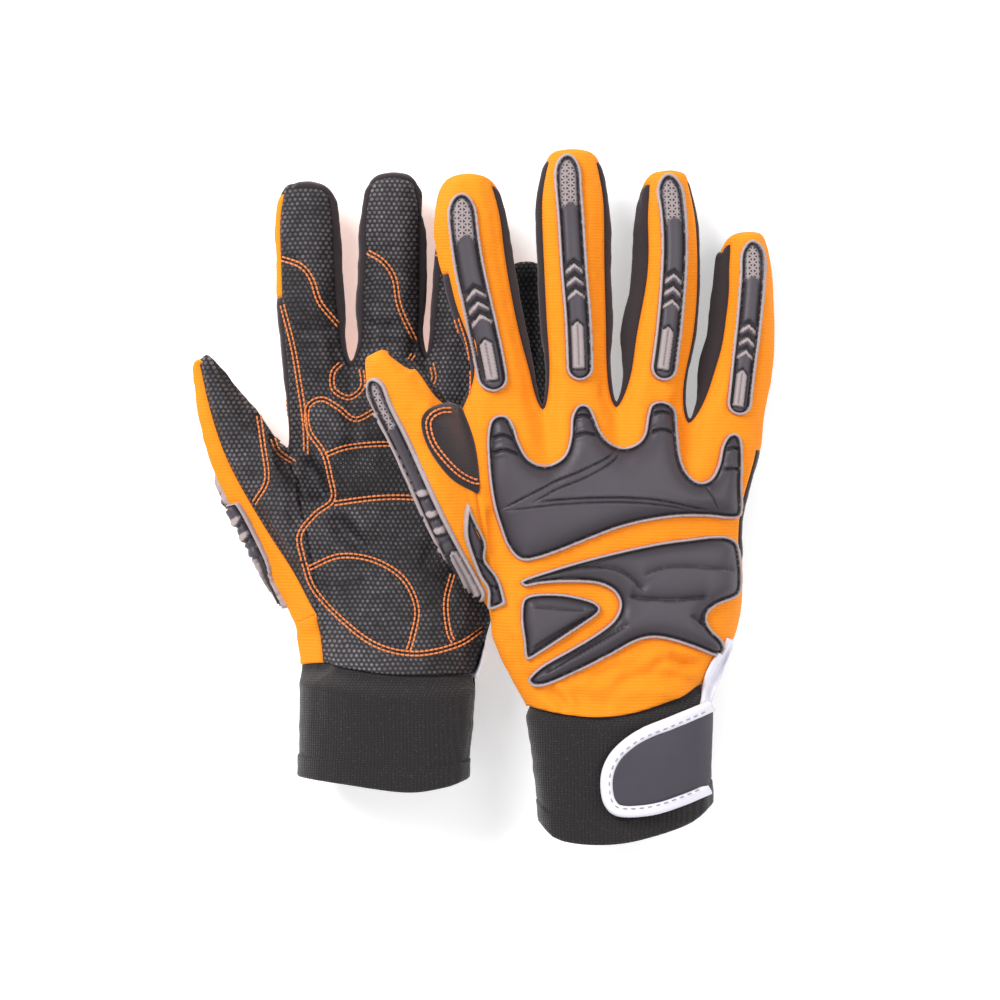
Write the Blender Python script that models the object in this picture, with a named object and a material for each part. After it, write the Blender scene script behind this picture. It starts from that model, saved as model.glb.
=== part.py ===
"""A pair of impact-protection work gloves, lying as a pair: the left glove palm up on its back guards,
the right glove back up beside it, its thumb and index finger over the left palm. Metres, +Z up, +Y to
the fingertips. Design values are in millimetres. Origin: middle of the pair's box, on the table."""

import math

import bmesh
import bpy
import numpy as np
from mathutils import Vector
from mathutils.bvhtree import BVHTree
from mathutils.geometry import barycentric_transform

MM = 0.001

# The glove's skin is a cage of two sheets, back and palm, over one plan, with a wall between their edges.
COLUMNS = 4  # across each finger
ROWS = 7  # from the wrist seam to the finger roots
FINGER_ROWS = 7
THUMB_ROWS = 7
THUMB_FROM = 3  # the hand row where the thumb's lower edge starts
HAND_COLUMNS = 4 * COLUMNS
CUFF_SIDES = 28
CUFF_ROWS = 4

FINGER_HALF = 9.0  # half height of a finger and of the thumb
THUMB_HALF = 8.5
SKIN = 1.4  # fabric or leather with its lining
CUFF_WALL = 2.0
SEAM_GAP = 0.75  # each panel's edge stands this far back from the seam
SIT = 0.6  # a piece sewn on stands this far off the skin
GUARD = 3.0  # rubber guard, from the skin to its outer face
FLOOR_SKIN = GUARD + SIT  # height of the left glove's back above the table
PATCH = 0.8
TAB = 1.8
PAD = 2.5
CELL = 11.0  # the largest facet of a laid piece
TAB_CELL = 6.5  # and of one bent round the cuff
FINE_CELL = 8.5  # and of one on a strongly curved place
SECTION = [(0.0, 0.4), (0.22, 0.93), (0.5, 1.0), (0.78, 0.93), (1.0, 0.4)]  # across a finger
THUMB_ROOT = [0, 0, 0.3, 0.5, 0.75, 0.9, 0.75, 0]  # share of the half height where the thumb joins each row
TIP_HEIGHT = [1.0, 1.0, 1.0, 1.0, 0.98, 0.94, 0.86, 0.68]  # along a finger, root to tip

# Plan outlines, root to tip: the left and right edges of each finger's upper sheet.
RIGHT = {
    "fingers": {
        "index": {
            "left": [(-8, 30), (-6.5, 52), (-11.5, 67), (-14.5, 85), (-16.5, 98), (-14.5, 106.5), (-7.5, 113)],
            "right": [(21.5, 30.5), (16, 47), (12, 63), (8, 85), (6.5, 98), (4, 106.5), (-1, 112.5)],
            "bulge": (0.6, 2.8),
            "drop": 0,
        },
        "middle": {
            "left": [(21.5, 30.5), (23.5, 45), (22.5, 63), (21.5, 85), (21, 103), (22, 115), (27.5, 123)],
            "right": [(48, 31.5), (45, 45), (44.5, 63), (44, 85), (43.8, 103), (42.5, 116), (38, 123)],
            "bulge": (2.2, 2.4),
            "drop": 5,
        },
        "ring": {
            "left": [(48, 31.5), (52.5, 41), (56, 60), (59.5, 80), (60, 95), (60, 108), (62.5, 116)],
            "right": [(74.5, 26), (73, 41), (76.5, 57), (78, 75), (78, 92), (76.5, 105), (70.5, 115.5)],
            "bulge": (6.0, 0.8),
            "drop": 7,
        },
        "little": {
            "left": [(74.5, 26), (80, 34), (86, 50.5), (88.5, 65), (90, 78), (91, 88), (93.5, 94)],
            "right": [(100.5, 23.5), (103, 36), (105, 48), (105.5, 63), (105, 76), (103, 87), (98.5, 94)],
            "bulge": (6.5, 0.8),
            "drop": 5,
        },
    },
    "thumb": {
        "left": [(3, -40.5), (-7.5, -26.5), (-14, -15.5), (-21.5, 1), (-28.5, 16), (-33.5, 27), (-37.5, 38), (-38.5, 46)],
        "right": [(-8, 30), (-11, 31), (-15, 33.5), (-20, 39), (-24.5, 44), (-29, 47.5), (-33, 49)],
        "bulge": (3.2, 2.0),
    },
    "hand_left": [(16.5, -76), (9.5, -62), (4.5, -50), (3, -40.5), (1, -22), (-1.5, -3), (-5, 15), (-8, 30)],
    "hand_right": [(80, -68.5), (89, -54), (92.5, -40), (93, -24), (93.5, -8), (97, 6), (99.5, 16), (100.5, 23.5)],
    "hand_bulge": (1.2, 1.5),
    "cuff_top": [(16.5, -76), (80, -68.5)],
    "seam_bow": -7.0,
    "cuff_end": [(20, -118), (28.5, -124), (49.5, -125), (73, -119), (83.5, -112)],
    "hand_half": [18.5, 18, 17, 16, 15.5, 15, 13, 9],
}
LEFT = {
    "fingers": {
        "index": {
            "left": [(-71, 16), (-71.5, 41), (-73, 56), (-74, 75), (-74, 92), (-71.5, 105), (-66.5, 112)],
            "right": [(-48.5, 47), (-50.5, 56), (-52, 66), (-54, 80), (-55, 94), (-57, 105), (-61.5, 112)],
            "bulge": (1.8, 3.0),
            "drop": -5,
        },
        "middle": {
            "left": [(-48.5, 47), (-46, 57), (-44.5, 72), (-43.5, 86), (-43, 99), (-41, 109), (-36.5, 115.5)],
            "right": [(-21, 50), (-23.5, 60), (-23.5, 72), (-23.5, 86), (-23.5, 99), (-25, 109), (-30, 115.5)],
            "bulge": (2.6, 2.6),
            "drop": -5,
        },
        "ring": {
            "left": [(-21, 50), (-18.5, 60), (-17, 72), (-16, 84), (-15, 94), (-12.5, 103), (-8.5, 108)],
            "right": [(4, 43), (2.5, 56), (2.5, 68), (3, 80), (3, 92), (1.5, 101), (-3, 107.5)],
            "bulge": (2.2, 2.0),
            "drop": 0,
        },
        "little": {
            "left": [(4, 43), (5.5, 50), (6.5, 57), (7.5, 64), (8.5, 72), (10.5, 79), (13, 83.5)],
            "right": [(22, 27), (22, 40), (22, 50), (22, 58), (21.5, 68), (20.5, 77), (17.5, 83)],
            "bulge": (1.6, 1.6),
            "drop": 1,
        },
    },
    "thumb": {
        "left": [(-60.8, -43.5), (-67.5, -31), (-78, -15), (-88.3, 2), (-95.5, 17), (-100.5, 33), (-102, 45)],
        "right": [(-71, 16), (-76, 22), (-82, 30), (-88, 37.5), (-92.5, 42.5), (-96, 48.5)],
        "bulge": (8.0, 1.5),
    },
    "hand_left": [(-58, -61), (-58.6, -55.5), (-59.4, -50), (-60.8, -43.5), (-61, -32), (-63.5, -14), (-68, 3), (-71, 16)],
    "hand_right": [(-4, -64.5), (-0.5, -52), (2, -42), (3.5, -34), (8, -20), (14, -4), (20, 14), (22, 27)],
    "hand_bulge": (9.3, 1.5),
    "cuff_top": [(-65, -60), (-4, -64.5)],
    "seam_bow": -2.0,
    "cuff_end": [(-67, -102), (-50.5, -104), (-28, -107), (-14, -105.5), (-6, -103)],
    "hand_half": [18.5, 17, 16, 15.5, 15, 14, 12, 9],
}

# Pieces on the back, drawn on the right glove's plan.
GUARDS = {
    "knuckle_guard": [
        (6, 28), (2, 22), (2, 10), (3, -2), (6, -13), (9.5, -20), (14.5, -24), (27.5, -20), (49, -12), (71, -8.5),
        (89, -10), (92, -8), (92.5, 12), (90, 21), (85.5, 14), (81, 5), (73, 7), (71, 15), (69, 26), (65, 32),
        (59, 30), (57, 19.5), (48.5, 16.5), (42.5, 21), (38, 30), (31.5, 30), (30, 15), (21.5, 10.5), (15, 17),
        (11, 27),
    ],
    "metacarpal_guard": [
        (13.5, -30), (38.5, -23.5), (67.5, -16.5), (87, -15.5), (91, -25), (90, -37), (81, -42), (83, -50),
        (80, -57), (60, -51.5), (38.5, -61), (22, -68), (18, -66), (31, -55.5), (48, -44.5), (48, -35),
        (38.5, -31), (17, -32),
    ],
    "triangle_guard": [(14.5, -38), (27.5, -36.5), (42, -41), (31, -49.5), (18, -58), (14, -48.5)],
    "web_guard": [(-5.5, -2.5), (0, -13), (1.5, -27), (8, -36), (3.5, -37.5), (-1, -28.5), (-6.5, -14)],
    "finger_guard_index": [(-7.5, 106), (-11.5, 100), (-6.5, 72), (-1.5, 44), (3.5, 38), (8, 43), (2, 73), (-3.5, 101)],
    "finger_guard_middle": [(31, 119.5), (27.5, 113), (30, 77), (31.5, 47), (34.5, 41.5), (38, 46), (36, 83), (34, 114)],
    "finger_guard_ring": [(67, 113.5), (64, 108), (65.5, 81), (61.5, 49), (64, 42.5), (68, 50), (73, 85), (70.5, 108)],
    "finger_guard_little": [(97.5, 90.5), (94.5, 85), (93.5, 63.5), (88.5, 37), (92, 31.5), (96.5, 40), (101.5, 70), (100.5, 85)],
    "thumb_guard": [
        (-38, 41.5), (-34.5, 36), (-29, 23), (-20, 3), (-11.5, -17), (-1, -35), (-4.5, -36), (-14, -20), (-24, 1),
        (-32.5, 20), (-38, 33),
    ],
}
WEB_PATCH = [(-14, 29), (-19, 27), (-20, 22), (-17, 15), (-10.5, 6.5), (-4, 2.5), (-2.5, 10), (-5, 22), (-9, 28)]

# Foam pads behind the palm leather, drawn on the left glove's plan.
PADS = {
    "palm_pad_upper": [(-58, 32), (-48, 27), (-40, 28), (-32, 33), (-12, 24), (2, 18), (-8, -2), (-30, -2), (-52, -4), (-59, 14)],
    "palm_pad_thumb": [(-61, -23), (-52, -21), (-40, -26), (-29, -36), (-26, -46), (-36, -52), (-50, -46), (-58, -36)],
    "palm_pad_heel": [(-10, -28), (-2, -28), (1, -38), (-4, -50), (-12, -52), (-14, -40)],
}

# Wrist closure, drawn on each glove's own cuff: from the tab's round end to the edge it is sewn to.
TABS = {
    "right": {"tip": (43, -100), "root": (76, -90), "half": 17.0, "slit": ((88.5, -53), (81, -71))},
    "left": {"tip": (-47, -84), "root": (-12, -84), "half": 17.0, "slit": ((-0.5, -52), (-3.5, -64))},
}
BINDING = 4.5

# The right glove is rolled about +Y: its middle surface rises from here towards the thumb.
ROLL_LOW, ROLL_SLOPE, ROLL_FROM = 18.5, 0.22, 93.0

# Places on a triangle where its distance from the skin is tested, as shares of its corners.
FACET_SAMPLES = [(0.5, 0.5, 0), (0, 0.5, 0.5), (0.5, 0, 0.5), (0.75, 0.25, 0), (0, 0.75, 0.25), (0.25, 0, 0.75)]
FACET_SAMPLES += [(0.25, 0.75, 0), (0, 0.25, 0.75), (0.75, 0, 0.25), (0.34, 0.33, 0.33)]
FACET_SAMPLES += [(0.6, 0.2, 0.2), (0.2, 0.6, 0.2), (0.2, 0.2, 0.6)]

FINGERS = ("index", "middle", "ring", "little")
PALETTE = {
    "orange_knit": ((0.96, 0.36, 0.02), 0.75),
    "dotted_leather": ((0.05, 0.047, 0.052), 0.6),
    "black_fabric": ((0.045, 0.038, 0.04), 0.85),
    "guard_rubber": ((0.075, 0.062, 0.072), 0.45),
    "cuff_elastic": ((0.03, 0.028, 0.03), 0.9),
    "tab_rubber": ((0.08, 0.075, 0.09), 0.55),
    "white_binding": ((0.82, 0.81, 0.86), 0.7),
    "hook_and_loop": ((0.03, 0.03, 0.032), 0.95),
    "pad_foam": ((0.35, 0.34, 0.32), 0.9),
}


def smooth_line(points, count):
    """Points evenly spaced along a Catmull-Rom curve through the given ones."""
    p = np.array(points, float)
    p = np.vstack([2 * p[0] - p[1], p, 2 * p[-1] - p[-2]])
    fine = []
    for a, b, c, d in zip(p[:-3], p[1:-2], p[2:-1], p[3:]):
        for t in np.linspace(0, 1, 12, endpoint=False):
            fine.append(0.5 * (2 * b + (c - a) * t + (2 * a - 5 * b + 4 * c - d) * t**2 + (3 * b - a - 3 * c + d) * t**3))
    fine = np.array(fine + [p[-2]])
    along = np.r_[0, np.cumsum(np.linalg.norm(np.diff(fine, axis=0), axis=1))]
    at = np.linspace(0, along[-1], count)
    return np.column_stack([np.interp(at, along, fine[:, i]) for i in range(2)])


def blend(low, high, t):
    t = min(max(t, 0.0), 1.0)
    return low + (high - low) * t * t * (3 - 2 * t)


class Cage:
    """One glove's skin: points by key, and quads by panel name. upper is the side away from the table."""

    def __init__(self, side, plan):
        self.side, self.plan = side, plan
        self.upper_is_back = side == "right"
        self.points, self.index, self.faces = [], {}, []
        self.make_hand()
        for number, name in enumerate(FINGERS):
            self.make_finger(number, plan["fingers"][name])
        self.make_thumb(plan["thumb"])
        self.make_walls()
        self.make_cuff()
        self.normals = self.point_normals()

    # Heights

    def middle_height(self, x):
        """Height of the glove's middle surface. The right glove is rolled, with its thumb side up."""
        if self.side == "right":
            return ROLL_LOW + ROLL_SLOPE * max(0.0, ROLL_FROM - x)
        return FLOOR_SKIN + 18.5

    def heights(self, x, half, share, lift=0.0):
        """The upper and lower sheet's heights where the section's share of its half height is given."""
        if self.side == "right":
            middle = self.middle_height(x) + lift
            # The palm is pressed flatter where it lies over the other glove.
            return middle + half * share, middle - half * share * blend(0.55, 1.0, (x - 2.0) / 32.0)
        # The left glove's back is flat on the table under the whole section but its rounded edges.
        low = FLOOR_SKIN + half * max(0.0, 0.93 - share) * 1.1
        pressed = blend(1.0, 0.8, (x + 12.0) / 22.0)
        return FLOOR_SKIN + half + half * share * pressed + lift, low + max(0.0, lift)

    # Points

    def add(self, key, x, y, z):
        self.index[key] = len(self.points)
        self.points.append(np.array([x, y, z], float))

    def add_pair(self, key, xy, half, share, lift=0.0):
        up, low = self.heights(xy[0], half, share, lift)
        self.add(("up",) + key, xy[0], xy[1], up)
        self.add(("low",) + key, xy[0], xy[1], low)

    def make_hand(self):
        plan = self.plan
        left = smooth_line(plan["hand_left"], ROWS + 1)
        left[THUMB_FROM:] = np.array(plan["hand_left"])[THUMB_FROM:]
        left[: THUMB_FROM + 1] = np.array(plan["hand_left"])[: THUMB_FROM + 1]
        right = np.array(plan["hand_right"], float)
        roots = [plan["fingers"][n]["left"][0] for n in FINGERS] + [plan["fingers"]["little"]["right"][0]]
        for row in range(ROWS + 1):
            t = row / ROWS
            for column in range(HAND_COLUMNS + 1):
                finger, j = divmod(column, COLUMNS)
                f = column / HAND_COLUMNS
                a = np.array(roots[finger], float)
                b = np.array(roots[min(finger + 1, 4)], float)
                share = SECTION[j][0]
                top = a + (b - a) * share
                chord = left[row] + (right[row] - left[row]) * f
                top_chord = left[-1] + (right[-1] - left[-1]) * f
                bow = np.array([0, self.plan["seam_bow"] * math.sin(math.pi * f)])
                xy = chord + (top - top_chord) * t**1.5 + bow * (1 - t) ** 2
                edge = 1 - abs(2 * f - 1) ** 2.6
                dome = 0.35 + 0.65 * max(edge, 0.0) ** 0.6
                across = blend(dome, SECTION[j][1], (t - 0.72) / 0.28)
                across += max(0.0, THUMB_ROOT[row] - across) * max(0.0, 1 - f / 0.25)
                self.add_pair(("hand", row, column), xy, plan["hand_half"][row], across)

    def make_finger(self, number, finger):
        left = smooth_line(finger["left"], FINGER_ROWS + 1)
        right = smooth_line(finger["right"], FINGER_ROWS + 1)
        for k in range(1, FINGER_ROWS + 1):
            lift = -finger["drop"] * (k / FINGER_ROWS) ** 1.5
            for j, (f, share) in enumerate(SECTION):
                xy = left[k] + (right[k] - left[k]) * f
                self.add_pair((number, k, j), xy, FINGER_HALF, share * TIP_HEIGHT[k], lift)

    def make_thumb(self, thumb):
        left = smooth_line(thumb["left"], THUMB_ROWS + 1)
        right = smooth_line(thumb["right"], THUMB_ROWS + 1)
        for k in range(1, THUMB_ROWS + 1):
            for j, (f, share) in enumerate(SECTION):
                xy = left[k] + (right[k] - left[k]) * f
                half = blend(15.0, THUMB_HALF, k / 4)
                lift = blend(0, 9.0, k / 3) if self.side == "right" else blend(0, 5.0, k / THUMB_ROWS)
                self.add_pair(("thumb", k, j), xy, half, share * TIP_HEIGHT[k], lift)

    def key(self, strip, k, j):
        if k == 0 and strip != "hand":
            return ("hand", THUMB_FROM + j, 0) if strip == "thumb" else ("hand", ROWS, COLUMNS * strip + j)
        return (strip, k, j)

    # Faces

    def quad(self, label, keys, flip=False):
        a, b, c, d = (self.index[k] for k in (reversed(keys) if flip else keys))
        self.faces += [(label, [a, b, c]), (label, [a, c, d])]

    def sheet(self, label_up, label_low, strip, rows, columns):
        for k in rows:
            for j in columns:
                ring = [self.key(strip, k, j), self.key(strip, k, j + 1), self.key(strip, k + 1, j + 1), self.key(strip, k + 1, j)]
                self.quad(label_up, [("up",) + r for r in ring])
                self.quad(label_low, [("low",) + r for r in ring], flip=True)

    def make_walls(self):
        back, palm = ("back_panel", "palm_panel") if self.upper_is_back else ("palm_panel", "back_panel")
        thumb_up, thumb_low = ("thumb_back", "thumb_palm") if self.upper_is_back else ("thumb_palm", "thumb_back")
        self.sheet(back, palm, "hand", range(ROWS), range(HAND_COLUMNS))
        for number in range(4):
            self.sheet(back, palm, number, range(FINGER_ROWS), range(COLUMNS))
        self.sheet(thumb_up, thumb_low, "thumb", range(THUMB_ROWS), range(COLUMNS))

        def halves(on_back_half, on_palm_half):
            return (on_back_half, on_palm_half) if self.upper_is_back else (on_palm_half, on_back_half)

        loop = [(("hand", r, 0), None) for r in range(THUMB_FROM)]
        loop[1:] = [(k, halves("back_panel", "back_panel")) for k, _ in loop[1:]]
        outer = halves("thumb_back", "thumb_back")
        loop.append((("hand", THUMB_FROM, 0), halves("back_panel", "back_panel")))
        loop += [(("thumb", k, 0), outer) for k in range(1, THUMB_ROWS + 1)]
        loop += [(("thumb", THUMB_ROWS, j), halves("thumb_back", "thumb_palm")) for j in range(1, COLUMNS + 1)]
        inner = halves("thumb_palm", "thumb_palm")
        loop += [(self.key("thumb", k, COLUMNS), inner) for k in range(THUMB_ROWS - 1, -1, -1)]
        between = ["index_side_panel", "fourchette_index_middle", "fourchette_middle_ring", "fourchette_ring_little", "little_side_panel"]
        for number in range(4):
            low_side = halves(between[number], between[number])
            tip_side = halves("back_panel", "palm_panel")
            rise = range(1, FINGER_ROWS + 1)
            for k in rise:
                wraps = number == 0 and k > 4
                loop.append(((number, k, 0), tip_side if wraps else low_side))
            loop += [((number, FINGER_ROWS, j), tip_side) for j in range(1, COLUMNS + 1)]
            after = halves(between[number + 1], between[number + 1])
            if number == 3:
                after = tip_side
            loop += [(self.key(number, k, COLUMNS), after) for k in range(FINGER_ROWS - 1, -1, -1)]
        for row in range(ROWS - 1, -1, -1):
            on_side = row in (3, 4, 5)
            loop.append((("hand", row, HAND_COLUMNS), halves("little_side_panel", "little_side_panel") if on_side else halves("back_panel", "palm_panel")))
        self.loop = [k for k, _ in loop]
        self.make_middles()
        for (a, _), (b, labels) in zip(loop[:-1], loop[1:]):
            self.quad(labels[0], [("up",) + a, ("up",) + b, ("mid",) + b, ("mid",) + a])
            self.quad(labels[1], [("mid",) + a, ("mid",) + b, ("low",) + b, ("low",) + a])

    def bulge_at(self, key):
        strip, k, j = key
        if strip == "hand":
            if k == ROWS and j < HAND_COLUMNS:
                return 0.8  # between two fingers
            return self.plan["hand_bulge"][j > 0]
        pair = self.plan["thumb"]["bulge"] if strip == "thumb" else self.plan["fingers"][FINGERS[strip]]["bulge"]
        last = THUMB_ROWS if strip == "thumb" else FINGER_ROWS
        if k == last and 0 < j < COLUMNS:
            return 2.0
        amount = pair[j > 0]
        if self.side == "left" and strip == "thumb" and j == 0:
            return amount * (1.25 - 0.1 * k)
        taper = {last: 0.45, last - 1: 0.75, 1: 0.4}.get(k, 1.0)
        return max(amount * taper, 0.4)

    def make_middles(self):
        """The wall's middle points, pushed outwards from the edges of the two sheets."""
        ends = np.array([self.points[self.index[("up",) + k]][:2] for k in self.loop])
        for i, key in enumerate(self.loop):
            before, after = ends[max(i - 1, 0)], ends[min(i + 1, len(ends) - 1)]
            along = after - before
            out = np.array([-along[1], along[0]]) / max(np.linalg.norm(along), 1e-6)
            up = self.points[self.index[("up",) + key]]
            low = self.points[self.index[("low",) + key]]
            xy = (up[:2] + low[:2]) / 2 + out * self.bulge_at(key)
            self.add(("mid",) + key, xy[0], xy[1], (up[2] + low[2]) / 2)

    def make_cuff(self):
        """The cuff's rings: a rounded band, open along a slit at the little-finger edge."""
        plan = self.plan
        seam_left, seam_right = plan["cuff_top"]
        end = smooth_line(plan["cuff_end"], 21)
        half = plan["hand_half"][0] + 0.8
        turn = np.linspace(0.05, 2 * math.pi - 0.05, CUFF_SIDES + 1)
        for q in range(CUFF_ROWS + 1):
            t = q / CUFF_ROWS
            for i, angle in enumerate(turn):
                f = 0.5 + 0.5 * math.copysign(abs(math.cos(angle)) ** 0.8, math.cos(angle))
                bow = plan["seam_bow"] * math.sin(math.pi * f)
                top = np.array(seam_left) + (np.array(seam_right) - np.array(seam_left)) * f
                top = top + np.array([(f - 0.5) * 3.0, bow - 1.2])
                low = np.array([np.interp(f, np.linspace(0, 1, 21), end[:, a]) for a in range(2)])
                xy = top + (low - top) * t
                centre = self.middle_height(xy[0]) if self.side == "right" else FLOOR_SKIN + half + 2.2
                rise = math.copysign(abs(math.sin(angle)) ** 0.8, math.sin(angle))
                if self.side == "left" and rise < 0:
                    rise = -min(1.0, -1.25 * rise)
                self.add(("cuff", q, i), xy[0], xy[1], centre + half * rise)
        for q in range(CUFF_ROWS):
            for i in range(CUFF_SIDES):
                ring = [("cuff", q, i), ("cuff", q, i + 1), ("cuff", q + 1, i + 1), ("cuff", q + 1, i)]
                self.quad("cuff_band", ring)

    def point_normals(self):
        p = np.array(self.points)
        total = np.zeros_like(p)
        for _, (a, b, c) in self.faces:
            n = np.cross(p[b] - p[a], p[c] - p[a])
            for corner, one, two in ((a, b, c), (b, c, a), (c, a, b)):
                u, v = p[one] - p[corner], p[two] - p[corner]
                wide = math.acos(np.clip(u @ v / max(np.linalg.norm(u) * np.linalg.norm(v), 1e-9), -1, 1))
                total[corner] += n / max(np.linalg.norm(n), 1e-9) * wide
        return total / np.maximum(np.linalg.norm(total, axis=1), 1e-9)[:, None]

    # Surfaces for the laid pieces

    def plan_triangles(self, wanted):
        """The plan's triangles, in one order for both gloves, as corner indices of the upper or lower sheet."""
        strips = [("hand", ROWS, HAND_COLUMNS)] + [(i, FINGER_ROWS, COLUMNS) for i in range(4)]
        strips += [("thumb", THUMB_ROWS, COLUMNS)]
        for strip, rows, columns in strips:
            for k in range(rows):
                for j in range(columns):
                    ring = [(k, j), (k, j + 1), (k + 1, j + 1), (k + 1, j)]
                    a, b, c, d = (self.index[(wanted,) + self.key(strip, *r)] for r in ring)
                    yield a, b, c
                    yield a, c, d

    def surface(self):
        return BVHTree.FromPolygons([Vector(p) for p in self.points], [f for _, f in self.faces])


def carry(xy, source, target):
    """A point on one glove's plan, at the same place on the other glove's plan."""
    p = Vector((xy[0], xy[1], 0))
    best = None
    for one, other in zip(source.plan_triangles("up"), target.plan_triangles("up")):
        corners = [Vector((*source.points[i][:2], 0)) for i in one]
        centre = sum(corners, Vector()) / 3
        distance = (p - centre).length
        if best is None or distance < best[0]:
            best = (distance, corners, [Vector((*target.points[i][:2], 0)) for i in other])
    moved = barycentric_transform(p, *best[1], *best[2])
    return moved.x, moved.y


# Solids


def material(slot):
    made = bpy.data.materials.get(slot) or bpy.data.materials.new(slot)
    colour, roughness = PALETTE[slot]
    made.use_nodes = True
    shader = made.node_tree.nodes["Principled BSDF"]
    shader.inputs["Base Color"].default_value = (*colour, 1)
    shader.inputs["Roughness"].default_value = roughness
    made.diffuse_color = (*colour, 1)
    return made


def add_object(name, slot, bm, collection):
    if bm.calc_volume(signed=True) < 0:
        bmesh.ops.reverse_faces(bm, faces=bm.faces)
    bmesh.ops.scale(bm, vec=(MM, MM, MM), verts=bm.verts)
    mesh = bpy.data.meshes.new(name)
    bm.to_mesh(mesh)
    bm.free()
    mesh.shade_smooth()
    mesh.set_sharp_from_angle(angle=math.radians(40))
    mesh.materials.append(material(slot))
    collection.objects.link(bpy.data.objects.new(name, mesh))


def thicken(outer, inner, faces):
    """A closed body between an outer sheet and an inner sheet with the same faces."""
    bm = bmesh.new()
    used = sorted({i for f in faces for i in f})
    out = {i: bm.verts.new(outer[i]) for i in used}
    inn = {i: bm.verts.new(inner[i]) for i in used}
    edges = {}
    for f in faces:
        bm.faces.new([out[i] for i in f])
        bm.faces.new([inn[i] for i in reversed(f)])
        for a, b in zip(f, list(f[1:]) + [f[0]]):
            edges[(a, b)] = edges.get((a, b), 0) + 1
    for a, b in edges:
        if (b, a) not in edges:
            bm.faces.new([out[b], out[a], inn[a], inn[b]])
    return bm


def panel(cage, label, slot, thickness, collection):
    """A panel of the skin, with its edges drawn back from the seams and mitred against its neighbours."""
    faces = [f for name, f in cage.faces if name == label]
    p, n = np.array(cage.points), cage.normals
    owners = {}
    for f in faces:
        for a, b in zip(f, f[1:] + f[:1]):
            owners.setdefault(frozenset((a, b)), []).append((a, b, f))
    rim = [uses[0] for uses in owners.values() if len(uses) == 1]
    outer = {i: p[i].copy() for f in faces for i in f}
    inner = {i: p[i] - n[i] * thickness for i in outer}
    pulls = {}
    for a, b, f in rim:
        along = p[b] - p[a]
        inward = np.cross(np.cross(along, p[sum(f) - a - b] - p[a]), along)
        for corner in (a, b):
            pulls.setdefault(corner, []).append(inward / np.linalg.norm(inward))
    for i, directions in pulls.items():
        pull = sum(directions)
        pull = pull / max(pull @ pull, 0.5) * len(directions) * SEAM_GAP
        outer[i] = outer[i] + pull
        inner[i] = inner[i] + pull * 1.4
    add_object(f"{cage.side}_{label}", slot, thicken(outer, inner, faces), collection)


def flat_mesh(outline, cell=CELL):
    """A flat outline cut into facets no larger than the cell, as plan points and faces."""
    bm = bmesh.new()
    face = bm.faces.new([bm.verts.new((x, y, 0)) for x, y in outline])
    if face.normal.z == 0:
        face.normal_update()
    bmesh.ops.triangulate(bm, faces=bm.faces)
    xy = np.array(outline)
    for axis in (0, 1):
        low, high = xy[:, axis].min(), xy[:, axis].max()
        steps = max(1, round((high - low) / cell))
        for i in range(1, steps):
            at = Vector((0, 0, 0))
            at[axis] = low + (high - low) * i / steps + 0.013
            across = Vector((0, 0, 0))
            across[axis] = 1
            geometry = list(bm.verts) + list(bm.edges) + list(bm.faces)
            bmesh.ops.bisect_plane(bm, geom=geometry, plane_co=at, plane_no=across, dist=1e-4)
    bmesh.ops.dissolve_limit(bm, angle_limit=0.01, verts=[], edges=[])
    bmesh.ops.remove_doubles(bm, verts=bm.verts, dist=0.3)
    bmesh.ops.triangulate(bm, faces=bm.faces)
    bm.normal_update()
    for f in list(bm.faces):
        if f.normal.z < 0:
            f.normal_flip()
    bm.verts.index_update()
    points = [(v.co.x, v.co.y) for v in bm.verts]
    faces = [[v.index for v in f.verts] for f in bm.faces]
    bm.free()
    return points, faces


def onto_surface(surface, xy, from_above):
    """Where a vertical line meets the skin, and the skin's direction there."""
    start = Vector((xy[0], xy[1], 300.0 if from_above else -300.0))
    hit, normal, _, _ = surface.ray_cast(start, Vector((0, 0, -1 if from_above else 1)))
    if hit is None:
        hit, normal, _, _ = surface.find_nearest(Vector((xy[0], xy[1], 30.0)))
    facing = Vector((0, 0, 1 if from_above else -1))
    if normal.dot(facing) < 0:
        normal = -normal
    return hit, (normal + facing * 0.8).normalized()


def clear_of_skin(surface, from_above, near, faces, depth):
    """Moves a piece's near side off the skin, by at least the depth, wherever its flat facets would cut in."""
    facing = Vector((0, 0, 1 if from_above else -1))
    inside = depth < 0
    away = -facing if inside else facing
    for _ in range(6):
        for face in faces:
            for shares in FACET_SAMPLES:
                middle = sum((near[i] * share for i, share in zip(face, shares)), Vector())
                hit, normal = onto_surface(surface, middle, from_above)
                need = (abs(depth) - 0.1) / max(0.45, normal.dot(facing))
                short = need - (middle - hit).dot(away)
                if 0 < short < 12:
                    for i, share in zip(face, shares):
                        if share:
                            near[i] = near[i] + away * short


def lay(name, slot, outline, cage, surface, from_above, low, high, collection, cell=CELL):
    """A flat piece bent to lie on the skin, from low to high millimetres off it."""
    points, faces = flat_mesh(outline, cell)
    outer, inner, normals = {}, {}, {}
    for i, xy in enumerate(points):
        hit, normals[i] = onto_surface(surface, xy, from_above)
        inner[i] = hit + normals[i] * low
        outer[i] = hit + normals[i] * high
    near, far, depth = (outer, inner, high) if low < 0 else (inner, outer, low)
    clear_of_skin(surface, from_above, near, faces, depth)
    for i in near:
        far[i] = near[i] + normals[i] * (high - low) * (-1 if low < 0 else 1)
    for i in near:
        if cage.side == "left" and not from_above and low > 0:
            outer[i].z = max(outer[i].z, FLOOR_SKIN - GUARD - SIT)
    add_object(f"{cage.side}_{name}", slot, thicken(outer, inner, faces), collection)


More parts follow.
